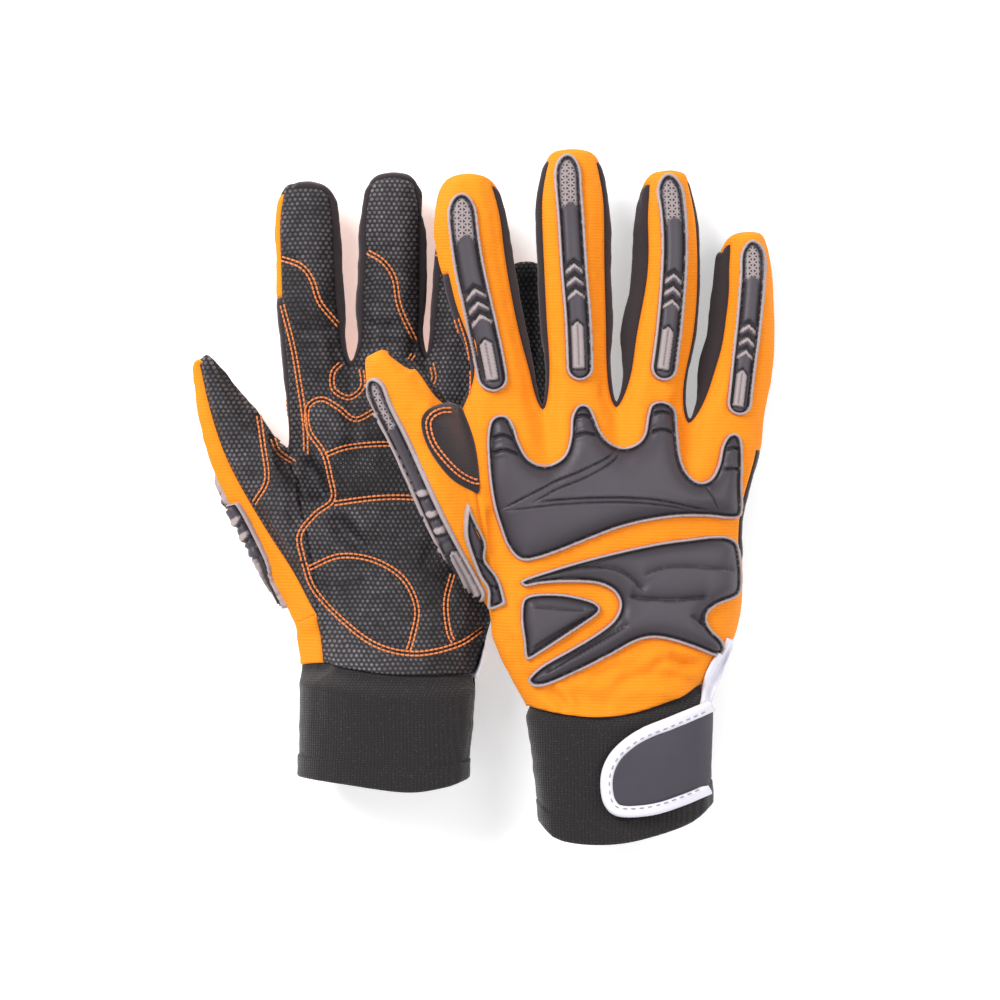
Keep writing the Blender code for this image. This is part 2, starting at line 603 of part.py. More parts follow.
def tab_outline(tab, inset):
    """A strap with one round end, drawn in by the inset everywhere but at its root."""
    tip, root = np.array(tab["tip"], float), np.array(tab["root"], float)
    along = (root - tip) / np.linalg.norm(root - tip)
    across = np.array([-along[1], along[0]])
    half = tab["half"] - inset
    centre = tip + along * tab["half"]
    reach = np.array([0.0, half / along[0]])  # the root edge lies along Y, like the hinge
    points = [root + reach]
    for angle in np.linspace(0.5 * math.pi, 1.5 * math.pi, 9):
        points.append(centre + along * half * math.cos(angle) + across * half * math.sin(angle))
    points.append(root - reach)
    return points


def wrist_pieces(cage, surface, collection):
    tab = TABS[cage.side]
    above = cage.upper_is_back
    level = SIT
    lift_hook = level + PATCH + 0.4
    lift_tab = lift_hook + PATCH + 0.8
    patch = tab_outline(tab, BINDING + 2.0)
    lay("loop_patch", "hook_and_loop", patch, cage, surface, above, level, level + PATCH, collection, TAB_CELL)
    lay("hook_patch", "hook_and_loop", patch, cage, surface, above, lift_hook, lift_hook + PATCH, collection, TAB_CELL)
    face = tab_outline(tab, BINDING + 0.3)
    lay("closure_tab", "tab_rubber", face, cage, surface, above, lift_tab, lift_tab + TAB, collection, TAB_CELL)
    ring = tab_outline(tab, 0.0) + tab_outline(tab, BINDING)[::-1]
    lay("tab_binding", "white_binding", ring, cage, surface, above, lift_tab - 0.3, lift_tab + TAB + 0.3, collection, TAB_CELL)


def slit_binding(cage, surface, collection):
    """The white tape round the slit's top, along the hand's little-finger edge."""
    top, bottom = (np.array(p, float) for p in TABS[cage.side]["slit"])
    along = (bottom - top) / np.linalg.norm(bottom - top)
    across = np.array([-along[1], along[0]])
    outline = [top - across * 1.0, bottom - across * 2.2, bottom + across * 2.2, top + across * 1.0]
    lay("slit_binding", "white_binding", outline, cage, surface, cage.upper_is_back, SIT, SIT + 1.4, collection)


def build_glove(cage, right, left, collection):
    skin = {
        "back_panel": "orange_knit",
        "palm_panel": "dotted_leather",
        "thumb_back": "orange_knit",
        "thumb_palm": "dotted_leather",
        "index_side_panel": "black_fabric",
        "little_side_panel": "black_fabric",
        "fourchette_index_middle": "black_fabric",
        "fourchette_middle_ring": "black_fabric",
        "fourchette_ring_little": "black_fabric",
    }
    for label, slot in skin.items():
        panel(cage, label, slot, SKIN, collection)
    panel(cage, "cuff_band", "cuff_elastic", CUFF_WALL, collection)
    surface = cage.surface()
    above = cage.upper_is_back
    for name, outline in GUARDS.items():
        placed = [carry(p, right, cage) for p in outline]
        cell = FINE_CELL if name in ("knuckle_guard", "metacarpal_guard") else CELL
        lay(name, "guard_rubber", placed, cage, surface, above, SIT, SIT + GUARD, collection, cell)
    placed = [carry(p, right, cage) for p in WEB_PATCH]
    lay("web_patch", "black_fabric", placed, cage, surface, above, SIT, SIT + 1.2, collection)
    for name, outline in PADS.items():
        placed = [carry(p, left, cage) for p in outline]
        lay(name, "pad_foam", placed, cage, surface, not above, -SKIN - 0.9 - PAD, -SKIN - 0.9, collection)
    wrist_pieces(cage, surface, collection)
    slit_binding(cage, surface, collection)


def main():
    for old in list(bpy.data.objects):
        bpy.data.objects.remove(old, do_unlink=True)
    collection = bpy.data.collections.new("work_gloves")
    bpy.context.scene.collection.children.link(collection)
    right, left = Cage("right", RIGHT), Cage("left", LEFT)
    for cage in (left, right):
        build_glove(cage, right, left, collection)


main()
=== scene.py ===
"""The looks of the work gloves: a left glove palm up and a right glove back up across it, built round the
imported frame. Design values are millimetres. The skin's cage is laid out like the CAD part's, with a few of
its edges moved by some millimetres."""

import math

import bpy
import numpy as np
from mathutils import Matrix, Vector, noise
from mathutils.bvhtree import BVHTree
from mathutils.geometry import barycentric_transform, delaunay_2d_cdt
from mathutils.kdtree import KDTree


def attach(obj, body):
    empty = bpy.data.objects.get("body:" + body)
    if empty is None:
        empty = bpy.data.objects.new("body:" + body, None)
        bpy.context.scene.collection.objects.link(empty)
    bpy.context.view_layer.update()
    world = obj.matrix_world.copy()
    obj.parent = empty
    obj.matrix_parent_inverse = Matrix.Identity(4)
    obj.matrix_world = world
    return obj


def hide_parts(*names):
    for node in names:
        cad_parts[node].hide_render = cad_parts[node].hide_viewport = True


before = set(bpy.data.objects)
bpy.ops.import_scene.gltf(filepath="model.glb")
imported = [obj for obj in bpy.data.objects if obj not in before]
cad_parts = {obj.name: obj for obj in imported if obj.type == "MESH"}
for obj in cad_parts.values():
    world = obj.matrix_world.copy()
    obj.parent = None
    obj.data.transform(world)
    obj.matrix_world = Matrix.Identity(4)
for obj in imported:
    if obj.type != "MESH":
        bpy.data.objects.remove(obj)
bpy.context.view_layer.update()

MM = 0.001
VISIBLE_LEVEL, HIDDEN_LEVEL = 4, 3  # subdivision of the panels that show, and of those that hardly do

# The glove's skin is a cage of two sheets, back and palm, over one plan, with a wall between their edges.
COLUMNS = 4  # across each finger
ROWS = 7  # from the wrist seam to the finger roots
FINGER_ROWS = 7
THUMB_ROWS = 7
THUMB_FROM = 3  # the hand row where the thumb's lower edge starts
HAND_COLUMNS = 4 * COLUMNS

FINGER_HALF, THUMB_HALF = 9.0, 8.5  # half height of a finger and of the thumb
FLOOR_SKIN = 3.6  # height of the left glove's back above the table
GUARD_ROOM = 3.3  # most that a guard rises towards the table from the left glove's back
TABLE_GAP = 0.15  # and what it keeps clear of the table
HEM = 1.1  # how far a panel's edge turns in
PAD_DEPTH = 4.9  # of the foam pads' middle, below the palm
BINDING = 4.5  # width of the tab's tape
SECTION = [(0.0, 0.4), (0.22, 0.93), (0.5, 1.0), (0.78, 0.93), (1.0, 0.4)]  # across a finger
THUMB_ROOT = [0, 0, 0.3, 0.5, 0.75, 0.9, 0.75, 0]  # share of the half height where the thumb joins each row
TIP_HEIGHT = [1.0, 1.0, 1.0, 1.0, 0.98, 0.94, 0.86, 0.68]  # along a finger, root to tip

# Plan outlines, root to tip: the left and right edges of each finger's upper sheet.
RIGHT = {
    "fingers": {
        "index": {
            "left": [(-8, 30), (-3.6, 42), (-4.4, 52), (-9.5, 66), (-14, 85), (-16.5, 98), (-14.5, 106.5),
                (-7.5, 113)],
            "right": [(21.5, 30.5), (16, 47), (12, 63), (8, 85), (6.5, 98), (4, 106.5), (-1, 112.5)],
            "bulge": (2.0, 2.8),
            "drop": 0,
        },
        "middle": {
            "left": [(21.5, 30.5), (23.5, 45), (22.5, 63), (21.5, 85), (21, 103), (22, 115), (27.5, 123)],
            "right": [(48, 31.5), (45, 45), (44.5, 63), (44, 85), (43.8, 103), (42.5, 116), (38, 123)],
            "bulge": (2.2, 2.4),
            "drop": 5,
        },
        "ring": {
            "left": [(48, 31.5), (52.5, 41), (56, 60), (59.5, 80), (60, 95), (60, 108), (62.5, 116)],
            "right": [(74.5, 26), (73, 41), (76.5, 57), (78, 75), (78, 92), (76.5, 105), (70.5, 115.5)],
            "bulge": (6.0, 0.8),
            "drop": 7,
        },
        "little": {
            "left": [(74.5, 26), (80, 34), (86, 50.5), (88.5, 65), (90, 78), (91, 88), (93.5, 94)],
            "right": [(100.5, 23.5), (103, 36), (105, 48), (105.5, 63), (105, 76), (103, 87), (98.5, 94)],
            "bulge": (6.5, 0.8),
            "drop": 5,
        },
    },
    "thumb": {
        "left": [(3, -40.5), (-7.5, -26.5), (-14, -15.5), (-21.5, 1), (-28.5, 16), (-34.3, 27), (-39.2, 38),
            (-41, 46.5)],
        "right": [(-8, 30), (-12.3, 31.3), (-17, 35), (-21, 41), (-24.6, 45.6), (-28.8, 48.6), (-33.5, 50)],
        "bulge": (3.2, 2.0),
    },
    "hand_left": [(16.5, -76), (9.5, -62), (4.5, -50), (3, -40.5), (1, -22), (-1.5, -3), (-5, 15),
        (-8, 30)],
    "hand_right": [(80, -68.5), (89, -54), (92.5, -40), (93, -24), (93.5, -8), (97, 6), (99.5, 16),
        (100.5, 23.5)],
    "hand_bulge": (1.2, 1.5),
    "cuff_top": [(16.5, -76), (80, -68.5)],
    "seam_bow": -7.0,
    "cuff_end": [(20, -118), (28.5, -124), (49.5, -125), (73, -119), (83.5, -112)],
    "hand_half": [18.5, 18, 17, 16, 15.5, 15, 13, 9],
}
LEFT = {
    "fingers": {
        "index": {
            "left": [(-71, 16), (-71.5, 41), (-73, 56), (-74, 75), (-74, 92), (-71.5, 105), (-66.5, 112)],
            "right": [(-48.5, 47), (-51.8, 56), (-53.4, 66), (-54.4, 80), (-55, 94), (-57, 105),
                (-61.5, 112)],
            "bulge": (1.8, 3.0),
            "drop": -5,
        },
        "middle": {
            "left": [(-48.5, 47), (-45, 57), (-44.3, 72), (-43.5, 86), (-43, 99), (-41, 109),
                (-36.5, 115.5)],
            "right": [(-21, 50), (-23.5, 60), (-23.5, 72), (-23.5, 86), (-23.5, 99), (-25, 109),
                (-30, 115.5)],
            "bulge": (2.6, 2.6),
            "drop": -5,
        },
        "ring": {
            "left": [(-21, 50), (-18.5, 60), (-17, 72), (-16, 84), (-15, 94), (-12.5, 103), (-8.5, 108)],
            "right": [(4, 43), (2.5, 56), (2.5, 68), (3, 80), (3, 92), (1.5, 101), (-3, 107.5)],
            "bulge": (2.2, 2.0),
            "drop": 0,
        },
        "little": {
            "left": [(4, 43), (5.5, 50), (6.5, 57), (7.5, 64), (8.5, 72), (10.5, 79), (13, 83.5)],
            "right": [(22, 27), (22, 40), (22, 50), (22, 58), (21.5, 68), (20.5, 77), (17.5, 83)],
            "bulge": (1.6, 1.6),
            "drop": 1,
        },
    },
    "thumb": {
        "left": [(-60.8, -43.5), (-67.5, -31), (-78, -15), (-88.3, 2), (-95.5, 17), (-100, 33),
            (-102, 47.5)],
        "right": [(-71, 16), (-77, 20.5), (-83.5, 28.5), (-89.5, 36), (-94, 41.5), (-98.5, 50)],
        "bulge": (8.0, 1.5),
    },
    "hand_left": [(-58, -61), (-58.6, -55.5), (-59.4, -50), (-60.8, -43.5), (-61, -32), (-63.5, -14),
        (-68, 3), (-71, 16)],
    "hand_right": [(-4, -64.5), (-0.5, -52), (2, -42), (3.5, -34), (8, -20), (14, -4), (20, 14), (22, 27)],
    "hand_bulge": (9.3, 1.5),
    "cuff_top": [(-65, -60), (-4, -64.5)],
    "seam_bow": -2.0,
    "cuff_end": [(-67, -102), (-50.5, -104), (-28, -107), (-14, -105.5), (-6, -103)],
    "hand_half": [18.5, 17, 16, 15.5, 15, 14, 12, 9],
}

# The right glove is rolled about +Y: its middle surface rises from here towards the thumb.
ROLL_LOW, ROLL_SLOPE, ROLL_FROM = 18.5, 0.22, 93.0
FINGERS = ("index", "middle", "ring", "little")


def curve(points, each, closed=False):
    """A Catmull-Rom curve through the given points, with so many steps between two of them."""
    p = np.array(points, float)
    if closed:
        p = np.vstack([p[-1], p, p[0], p[1]])
    else:
        p = np.vstack([2 * p[0] - p[1], p, 2 * p[-1] - p[-2]])
    t = np.linspace(0, 1, each, endpoint=False)[:, None]
    fine = [0.5 * (2 * b + (c - a) * t + (2 * a - 5 * b + 4 * c - d) * t**2 + (3 * b - a - 3 * c + d)
        * t**3) for a, b, c, d in zip(p[:-3], p[1:-2], p[2:-1], p[3:])]
    return np.vstack(fine + [p[-2][None]])


def lengths(line):
    """The distance along a polyline at each of its points."""
    return np.r_[0, np.cumsum(np.linalg.norm(np.diff(line, axis=0), axis=1))]


def at_lengths(line, at):
    """Points at the given distances along a polyline."""
    along = lengths(line)
    return np.column_stack([np.interp(at, along, line[:, i]) for i in range(line.shape[1])])


def smooth_line(points, count):
    """Points evenly spaced along a smooth curve through the given ones."""
    fine = curve(points, 12)
    return at_lengths(fine, np.linspace(0, lengths(fine)[-1], count))


def spaced(points, step, closed=False):
    """Points about one step apart along a smooth curve through the given ones."""
    fine = curve(points, 16, closed)
    length = lengths(fine)[-1]
    made = at_lengths(fine, np.linspace(0, length, max(2, round(length / step) + 1)))
    return made[:-1] if closed else made


def unit(vectors):
    return vectors / np.linalg.norm(vectors, axis=-1)[..., None]


def leftward(way):
    return np.column_stack([-way[:, 1], way[:, 0]])


def left_of(run):
    """Unit vectors to the left of a line's direction."""
    return leftward(unit(np.gradient(run, axis=0)))


def blend(low, high, t):
    t = min(max(t, 0.0), 1.0)
    return low + (high - low) * t * t * (3 - 2 * t)


class Cage:
    """One glove's skin: points by key, and quads by panel name. upper is the side away from the table."""

    def __init__(self, side, plan):
        self.side, self.plan = side, plan
        self.upper_is_back = side == "right"
        self.points, self.index, self.faces = [], {}, []
        self.make_hand()
        for number, name in enumerate(FINGERS):
            self.make_finger(number, plan["fingers"][name])
        self.make_thumb(plan["thumb"])
        self.make_walls()

    # Heights

    def middle_height(self, x):
        """Height of the glove's middle surface. The right glove is rolled, with its thumb side up."""
        if self.side == "right":
            return ROLL_LOW + ROLL_SLOPE * max(0.0, ROLL_FROM - x)
        return FLOOR_SKIN + 18.5

    def heights(self, x, half, share, lift=0.0):
        """The upper and lower sheet's heights where the section's share of its half height is given."""
        if self.side == "right":
            middle = self.middle_height(x) + lift
            # The palm is pressed flatter where it lies over the other glove.
            return middle + half * share, middle - half * share * blend(0.55, 1.0, (x - 2.0) / 32.0)
        # The left glove's back is flat on the table under the whole section but its rounded edges.
        low = FLOOR_SKIN + half * max(0.0, 0.93 - share) * 1.1
        pressed = blend(1.0, 0.8, (x + 12.0) / 22.0)
        return FLOOR_SKIN + half + half * share * pressed + lift, low + max(0.0, lift)

    # Points

    def add(self, key, x, y, z):
        self.index[key] = len(self.points)
        self.points.append(np.array([x, y, z], float))

    def add_pair(self, key, xy, half, share, lift=0.0):
        up, low = self.heights(xy[0], half, share, lift)
        self.add(("up",) + key, xy[0], xy[1], up)
        self.add(("low",) + key, xy[0], xy[1], low)

    def make_hand(self):
        plan = self.plan
        left = smooth_line(plan["hand_left"], ROWS + 1)
        left[THUMB_FROM:] = np.array(plan["hand_left"])[THUMB_FROM:]
        left[: THUMB_FROM + 1] = np.array(plan["hand_left"])[: THUMB_FROM + 1]
        right = np.array(plan["hand_right"], float)
        roots = [plan["fingers"][n]["left"][0] for n in FINGERS] + [plan["fingers"]["little"]["right"][0]]
        for row in range(ROWS + 1):
            t = row / ROWS
            for column in range(HAND_COLUMNS + 1):
                finger, j = divmod(column, COLUMNS)
                f = column / HAND_COLUMNS
                a = np.array(roots[finger], float)
                b = np.array(roots[min(finger + 1, 4)], float)
                share = SECTION[j][0]
                top = a + (b - a) * share
                chord = left[row] + (right[row] - left[row]) * f
                top_chord = left[-1] + (right[-1] - left[-1]) * f
                bow = np.array([0, self.plan["seam_bow"] * math.sin(math.pi * f)])
                xy = chord + (top - top_chord) * t**1.5 + bow * (1 - t) ** 2
                edge = 1 - abs(2 * f - 1) ** 2.6
                dome = 0.35 + 0.65 * max(edge, 0.0) ** 0.6
                across = blend(dome, SECTION[j][1], (t - 0.72) / 0.28)
                across += max(0.0, THUMB_ROOT[row] - across) * max(0.0, 1 - f / 0.25)
                self.add_pair(("hand", row, column), xy, plan["hand_half"][row], across)

    def make_finger(self, number, finger):
        left = smooth_line(finger["left"], FINGER_ROWS + 1)
        right = smooth_line(finger["right"], FINGER_ROWS + 1)
        for k in range(1, FINGER_ROWS + 1):
            lift = -finger["drop"] * (k / FINGER_ROWS) ** 1.5
            for j, (f, share) in enumerate(SECTION):
                xy = left[k] + (right[k] - left[k]) * f
                self.add_pair((number, k, j), xy, FINGER_HALF, share * TIP_HEIGHT[k], lift)

    def make_thumb(self, thumb):
        left = smooth_line(thumb["left"], THUMB_ROWS + 1)
        right = smooth_line(thumb["right"], THUMB_ROWS + 1)
        for k in range(1, THUMB_ROWS + 1):
            for j, (f, share) in enumerate(SECTION):
                xy = left[k] + (right[k] - left[k]) * f
                half = blend(15.0, THUMB_HALF, k / 4)
                lift = blend(0, 9.0, k / 3) if self.side == "right" else blend(0, 5.0, k / THUMB_ROWS)
                self.add_pair(("thumb", k, j), xy, half, share * TIP_HEIGHT[k], lift)

    def key(self, strip, k, j):
        if k == 0 and strip != "hand":
            return ("hand", THUMB_FROM + j, 0) if strip == "thumb" else ("hand", ROWS, COLUMNS * strip + j)
        return (strip, k, j)

    # Faces

    def quad(self, label, keys, flip=False):
        a, b, c, d = (self.index[k] for k in (reversed(keys) if flip else keys))
        self.faces.append((label, [a, b, c, d]))

    def sheet(self, label_up, label_low, strip, rows, columns):
        for k in rows:
            for j in columns:
                ring = [self.key(strip, k, j), self.key(strip, k, j + 1), self.key(strip, k + 1, j + 1),
                    self.key(strip, k + 1, j)]
                self.quad(label_up, [("up",) + r for r in ring])
                self.quad(label_low, [("low",) + r for r in ring], flip=True)

    def make_walls(self):
        back, palm = ("back_panel", "palm_panel") if self.upper_is_back else ("palm_panel", "back_panel")
        thumb_up, thumb_low = ("thumb_back", "thumb_palm") if self.upper_is_back else ("thumb_palm",
            "thumb_back")
        self.sheet(back, palm, "hand", range(ROWS), range(HAND_COLUMNS))
        for number in range(4):
            self.sheet(back, palm, number, range(FINGER_ROWS), range(COLUMNS))
        self.sheet(thumb_up, thumb_low, "thumb", range(THUMB_ROWS), range(COLUMNS))

        def halves(on_back_half, on_palm_half):
            return (on_back_half, on_palm_half) if self.upper_is_back else (on_palm_half, on_back_half)

        loop = [(("hand", r, 0), ("back_panel",) * 2) for r in range(THUMB_FROM + 1)]
        outer = ("thumb_back",) * 2
        loop += [(("thumb", k, 0), outer) for k in range(1, THUMB_ROWS + 1)]
        for j in range(1, COLUMNS + 1):
            loop.append((("thumb", THUMB_ROWS, j), outer if j == 1 else halves("thumb_back", "thumb_palm")))
        loop += [(self.key("thumb", k, COLUMNS), ("thumb_palm",) * 2) for k in range(THUMB_ROWS - 1, -1,
            -1)]
        between = ["index_side_panel", "fourchette_index_middle", "fourchette_middle_ring",
            "fourchette_ring_little", "little_side_panel"]
        for number in range(4):
            tip_side = halves("back_panel", "palm_panel")
            for k in range(1, FINGER_ROWS + 1):
                wraps = number == 0 and k > 4
                loop.append(((number, k, 0), ("back_panel" if wraps else between[number],) * 2))
            black_tip = number < 3 and not self.upper_is_back
            for j in range(1, COLUMNS + 1):
                strip_label = halves("back_panel", between[number + 1])
                loop.append(((number, FINGER_ROWS, j), strip_label if black_tip and (number or j > 1)
                    else tip_side))
            after = tip_side if number == 3 else (between[number + 1],) * 2
            loop += [(self.key(number, k, COLUMNS), after) for k in range(FINGER_ROWS - 1, -1, -1)]
        for row in range(ROWS - 1, -1, -1):
            on_side = row in (3, 4, 5)
            labels = ("little_side_panel",) * 2 if on_side else halves("back_panel", "palm_panel")
            loop.append((("hand", row, HAND_COLUMNS), labels))
        self.loop = [k for k, _ in loop]
        self.make_middles()
        for (a, _), (b, labels) in zip(loop[:-1], loop[1:]):
            self.quad(labels[0], [("up",) + a, ("up",) + b, ("mid",) + b, ("mid",) + a])
            self.quad(labels[1], [("mid",) + a, ("mid",) + b, ("low",) + b, ("low",) + a])

    def bulge_at(self, key):
        strip, k, j = key
        if strip == "hand":
            if k == ROWS and j < HAND_COLUMNS:
                return 0.8  # between two fingers
            return self.plan["hand_bulge"][j > 0]
        part = self.plan["thumb"] if strip == "thumb" else self.plan["fingers"][FINGERS[strip]]
        pair = part["bulge"]
        last = THUMB_ROWS if strip == "thumb" else FINGER_ROWS
        if k == last and 0 < j < COLUMNS:
            return 2.0
        amount = pair[j > 0]
        if self.side == "left" and strip == "thumb" and j == 0:
            return amount * (1.25 - 0.1 * k)
        taper = {last: 0.45, last - 1: 0.75, 1: 0.4}.get(k, 1.0)
        return max(amount * taper, 0.4)

    def make_middles(self):
        """The wall's middle points, pushed outwards from the edges of the two sheets."""
        ends = np.array([self.points[self.index[("up",) + k]][:2] for k in self.loop])
        for i, key in enumerate(self.loop):
            before, after = ends[max(i - 1, 0)], ends[min(i + 1, len(ends) - 1)]
            along = after - before
            out = np.array([-along[1], along[0]]) / max(np.linalg.norm(along), 1e-6)
            up = self.points[self.index[("up",) + key]]
            low = self.points[self.index[("low",) + key]]
            xy = (up[:2] + low[:2]) / 2 + out * self.bulge_at(key)
            self.add(("mid",) + key, xy[0], xy[1], (up[2] + low[2]) / 2)

    def plan_triangles(self):
        """The plan's triangles, in one order for both gloves, as corner indices of the upper sheet."""
        strips = [("hand", ROWS, HAND_COLUMNS)] + [(i, FINGER_ROWS, COLUMNS) for i in range(4)]
        strips += [("thumb", THUMB_ROWS, COLUMNS)]
        for strip, rows, columns in strips:
            for k in range(rows):
                for j in range(columns):
                    ring = [(k, j), (k, j + 1), (k + 1, j + 1), (k + 1, j)]
                    a, b, c, d = (self.index[("up",) + self.key(strip, *r)] for r in ring)
                    yield a, b, c
                    yield a, c, d


def carry(xy, source, target):
    """A point on one glove's plan, at the same place on the other glove's plan."""
    p = Vector((xy[0], xy[1], 0))
    best = None
    for one, other in zip(source.plan_triangles(), target.plan_triangles()):
        corners = [Vector((*source.points[i][:2], 0)) for i in one]
        centre = sum(corners, Vector()) / 3
        distance = (p - centre).length
        if best is None or distance < best[0]:
            best = (distance, corners, [Vector((*target.points[i][:2], 0)) for i in other])
    moved = barycentric_transform(p, *best[1], *best[2])
    return moved.x, moved.y


PANELS = {
    "back_panel": "orange_knit",
    "palm_panel": "dotted_leather",
    "thumb_back": "orange_knit",
    "thumb_palm": "dotted_leather",
    "index_side_panel": "black_fabric",
    "little_side_panel": "black_fabric",
    "fourchette_index_middle": "black_fabric",
    "fourchette_middle_ring": "black_fabric",
    "fourchette_ring_little": "black_fabric",
}
LABELS = list(PANELS)
ON_SHOW = {
    "right": ("back_panel", "thumb_back"),
    "left": ("palm_panel", "thumb_palm", "thumb_back"),
}


def steps(low, high, x):
    """A smooth rise from 0 to 1 as x goes from low to high."""
    t = np.clip((x - low) / (high - low), 0, 1)
    return t * t * (3 - 2 * t)


def hump(x, width):
    return np.exp(-((x / width) ** 2))


def line_distance(xy, line):
    """Distance from each point to a polyline, the share of its length there, and the side as a sign."""
    line = np.array(line, float)
    a, b = line[:-1], line[1:]
    ab = b - a
    length = np.linalg.norm(ab, axis=1)
    start = lengths(line)
    rel = xy[:, None, :] - a[None]
    t = np.clip((rel * ab[None]).sum(2) / np.maximum(length**2, 1e-9), 0, 1)
    off = rel - t[:, :, None] * ab[None]
    dist = np.linalg.norm(off, axis=2)
    pick = dist.argmin(1)
    rows = np.arange(len(xy))
    cross = ab[pick, 0] * rel[rows, pick, 1] - ab[pick, 1] * rel[rows, pick, 0]
    share = (start[pick] + t[rows, pick] * length[pick]) / start[-1]
    return dist[rows, pick], share, np.sign(cross)


def tree_of(points):
    tree = KDTree(len(points))
    for i, p in enumerate(points):
        tree.insert((p[0], p[1], p[2] if len(p) > 2 else 0.0), i)
    tree.balance()
    return tree


def distances(tree, points):
    return np.array([tree.find((p[0], p[1], p[2] if len(p) > 2 else 0.0))[2] for p in points])


# Meshes


def add_mesh(name, points, faces, body, slot=None, replaces=(), material=None, attribute=None):
    """A piece from points in millimetres, riding on a body."""
    mesh = bpy.data.meshes.new(name)
    mesh.from_pydata([tuple(p) for p in np.asarray(points) * MM], [], [tuple(map(int, f)) for f in faces])
    mesh.shade_smooth()
    if attribute is not None:
        for key, values in attribute.items():
            made = mesh.attributes.new(key, "FLOAT", "POINT")
            made.data.foreach_set("value", np.asarray(values, np.float32))
    obj = bpy.data.objects.new(name, mesh)
    bpy.context.scene.collection.objects.link(obj)
    obj.data.materials.append(material or MATERIALS[slot])
    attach(obj, body)
    if replaces:
        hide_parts(*replaces)
    return obj


def subdivided(points, faces, labels, level):
    """Points, quads, labels and point normals of the smooth surface of a cage."""
    mesh = bpy.data.meshes.new("cage")
    mesh.from_pydata([tuple(p) for p in points], [], faces)
    mesh.polygons.foreach_set("material_index", labels)
    obj = bpy.data.objects.new("cage", mesh)
    bpy.context.scene.collection.objects.link(obj)
    modifier = obj.modifiers.new("smooth", "SUBSURF")
    modifier.levels = modifier.render_levels = level
    bpy.context.view_layer.update()
    made = obj.evaluated_get(bpy.context.evaluated_depsgraph_get()).to_mesh()
    co = np.empty(len(made.vertices) * 3, np.float32)
    made.vertices.foreach_get("co", co)
    corner = np.empty(len(made.loops), np.int32)
    made.loops.foreach_get("vertex_index", corner)
    label = np.empty(len(made.polygons), np.int32)
    made.polygons.foreach_get("material_index", label)
    normal = np.empty(len(made.vertices) * 3, np.float32)
    made.vertices.foreach_get("normal", normal)
    bpy.data.objects.remove(obj)
    bpy.data.meshes.remove(mesh)
    return co.reshape(-1, 3).astype(float), corner.reshape(-1, 4), label, normal.reshape(-1,
        3).astype(float)


def point_normals(co, quads):
    total = np.zeros_like(co)
    cross = np.cross(co[quads[:, 2]] - co[quads[:, 0]], co[quads[:, 3]] - co[quads[:, 1]])
    for k in range(4):
        np.add.at(total, quads[:, k], cross)
    return total / np.maximum(np.linalg.norm(total, axis=1), 1e-9)[:, None]


def quad_edges(quads):
    """The four edges of each quad, in the order of its corners."""
    return np.vstack([quads[:, [k, (k + 1) % 4]] for k in range(4)])


def open_edges(quads):
    """The edges that belong to one quad only."""
    known = set(map(tuple, quad_edges(quads)))
    return sorted((a, b) for a, b in known if (b, a) not in known)


def smoothed(values, quads, rounds):
    edges = quad_edges(quads)
    both = np.vstack([edges, edges[:, ::-1]])
    count = np.bincount(both[:, 0], minlength=len(values))[:, None]
    for _ in range(rounds):
        total = np.zeros_like(values)
        np.add.at(total, both[:, 0], values[both[:, 1]])
        values = 0.5 * values + 0.5 * total / count
    return values


def seam_edges(quads, labels):
    """Points on the edges between two panels."""
    edges = np.sort(quad_edges(quads), axis=1)
    owner = np.tile(labels, 4)
    order = np.lexsort((edges[:, 1], edges[:, 0]))
    edges, owner = edges[order], owner[order]
    same = (edges[1:] == edges[:-1]).all(1)
    seam = same & (owner[1:] != owner[:-1])
    return np.unique(edges[1:][seam])


class Surface:
    """A surface that pieces are laid on: where a vertical line meets it, and its smooth normal there."""

    def __init__(self, points, faces, normals):
        self.points, self.faces, self.normals = points, faces, normals
        self.tree = BVHTree.FromPolygons([Vector(p) for p in points], [tuple(map(int, f)) for f in faces])

    def normal_at(self, hit, index):
        corners = self.faces[index]
        away = np.linalg.norm(self.points[corners] - np.array(hit), axis=1)
        return (self.normals[corners] / (away[:, None] + 0.05)).sum(0)

    def at(self, xy, above):
        facing = 1.0 if above else -1.0
        hit, _, index, _ = self.tree.ray_cast(Vector((xy[0], xy[1], facing * 300.0)),
            Vector((0, 0, -facing)))
        if hit is None:
            hit, _, index, _ = self.tree.find_nearest(Vector((xy[0], xy[1], 30.0)))
        normal = self.normal_at(hit, index)
        if normal[2] * facing < 0:
            normal = -normal
        return np.array(hit), unit(unit(normal) + np.array([0, 0, facing * 0.6]))

    def lay(self, xys, above):
        found = [self.at(xy, above) for xy in xys]
        return np.array([f[0] for f in found]), np.array([f[1] for f in found])

    def near(self, points):
        """The nearest places on the surface, and its normals there."""
        found = [self.tree.find_nearest(Vector(p)) for p in points]
        normals = [unit(self.normal_at(hit, index)) for hit, _, index, _ in found]
        return np.array([tuple(f[0]) for f in found]), np.array(normals)


class Rail:
    """Lays what is drawn about a plan line on a surface, mirrored, along a line in space beside it."""

    def __init__(self, surface, line, rail):
        self.surface, self.line, self.rail = surface, line, spaced(rail, 1.0)

    def lay(self, xys, _above):
        dist, share, side = line_distance(xys, self.line)
        at = np.linspace(0, 1, len(self.rail))
        way = np.gradient(self.rail, axis=0)
        place = np.column_stack([np.interp(share, at, self.rail[:, i]) for i in range(3)])
        way = np.column_stack([np.interp(share, at, way[:, i]) for i in range(3)])
        hit, normal = self.surface.near(place)
        across = unit(np.cross(way, normal))
        return self.surface.near(hit + across * (dist * side)[:, None])


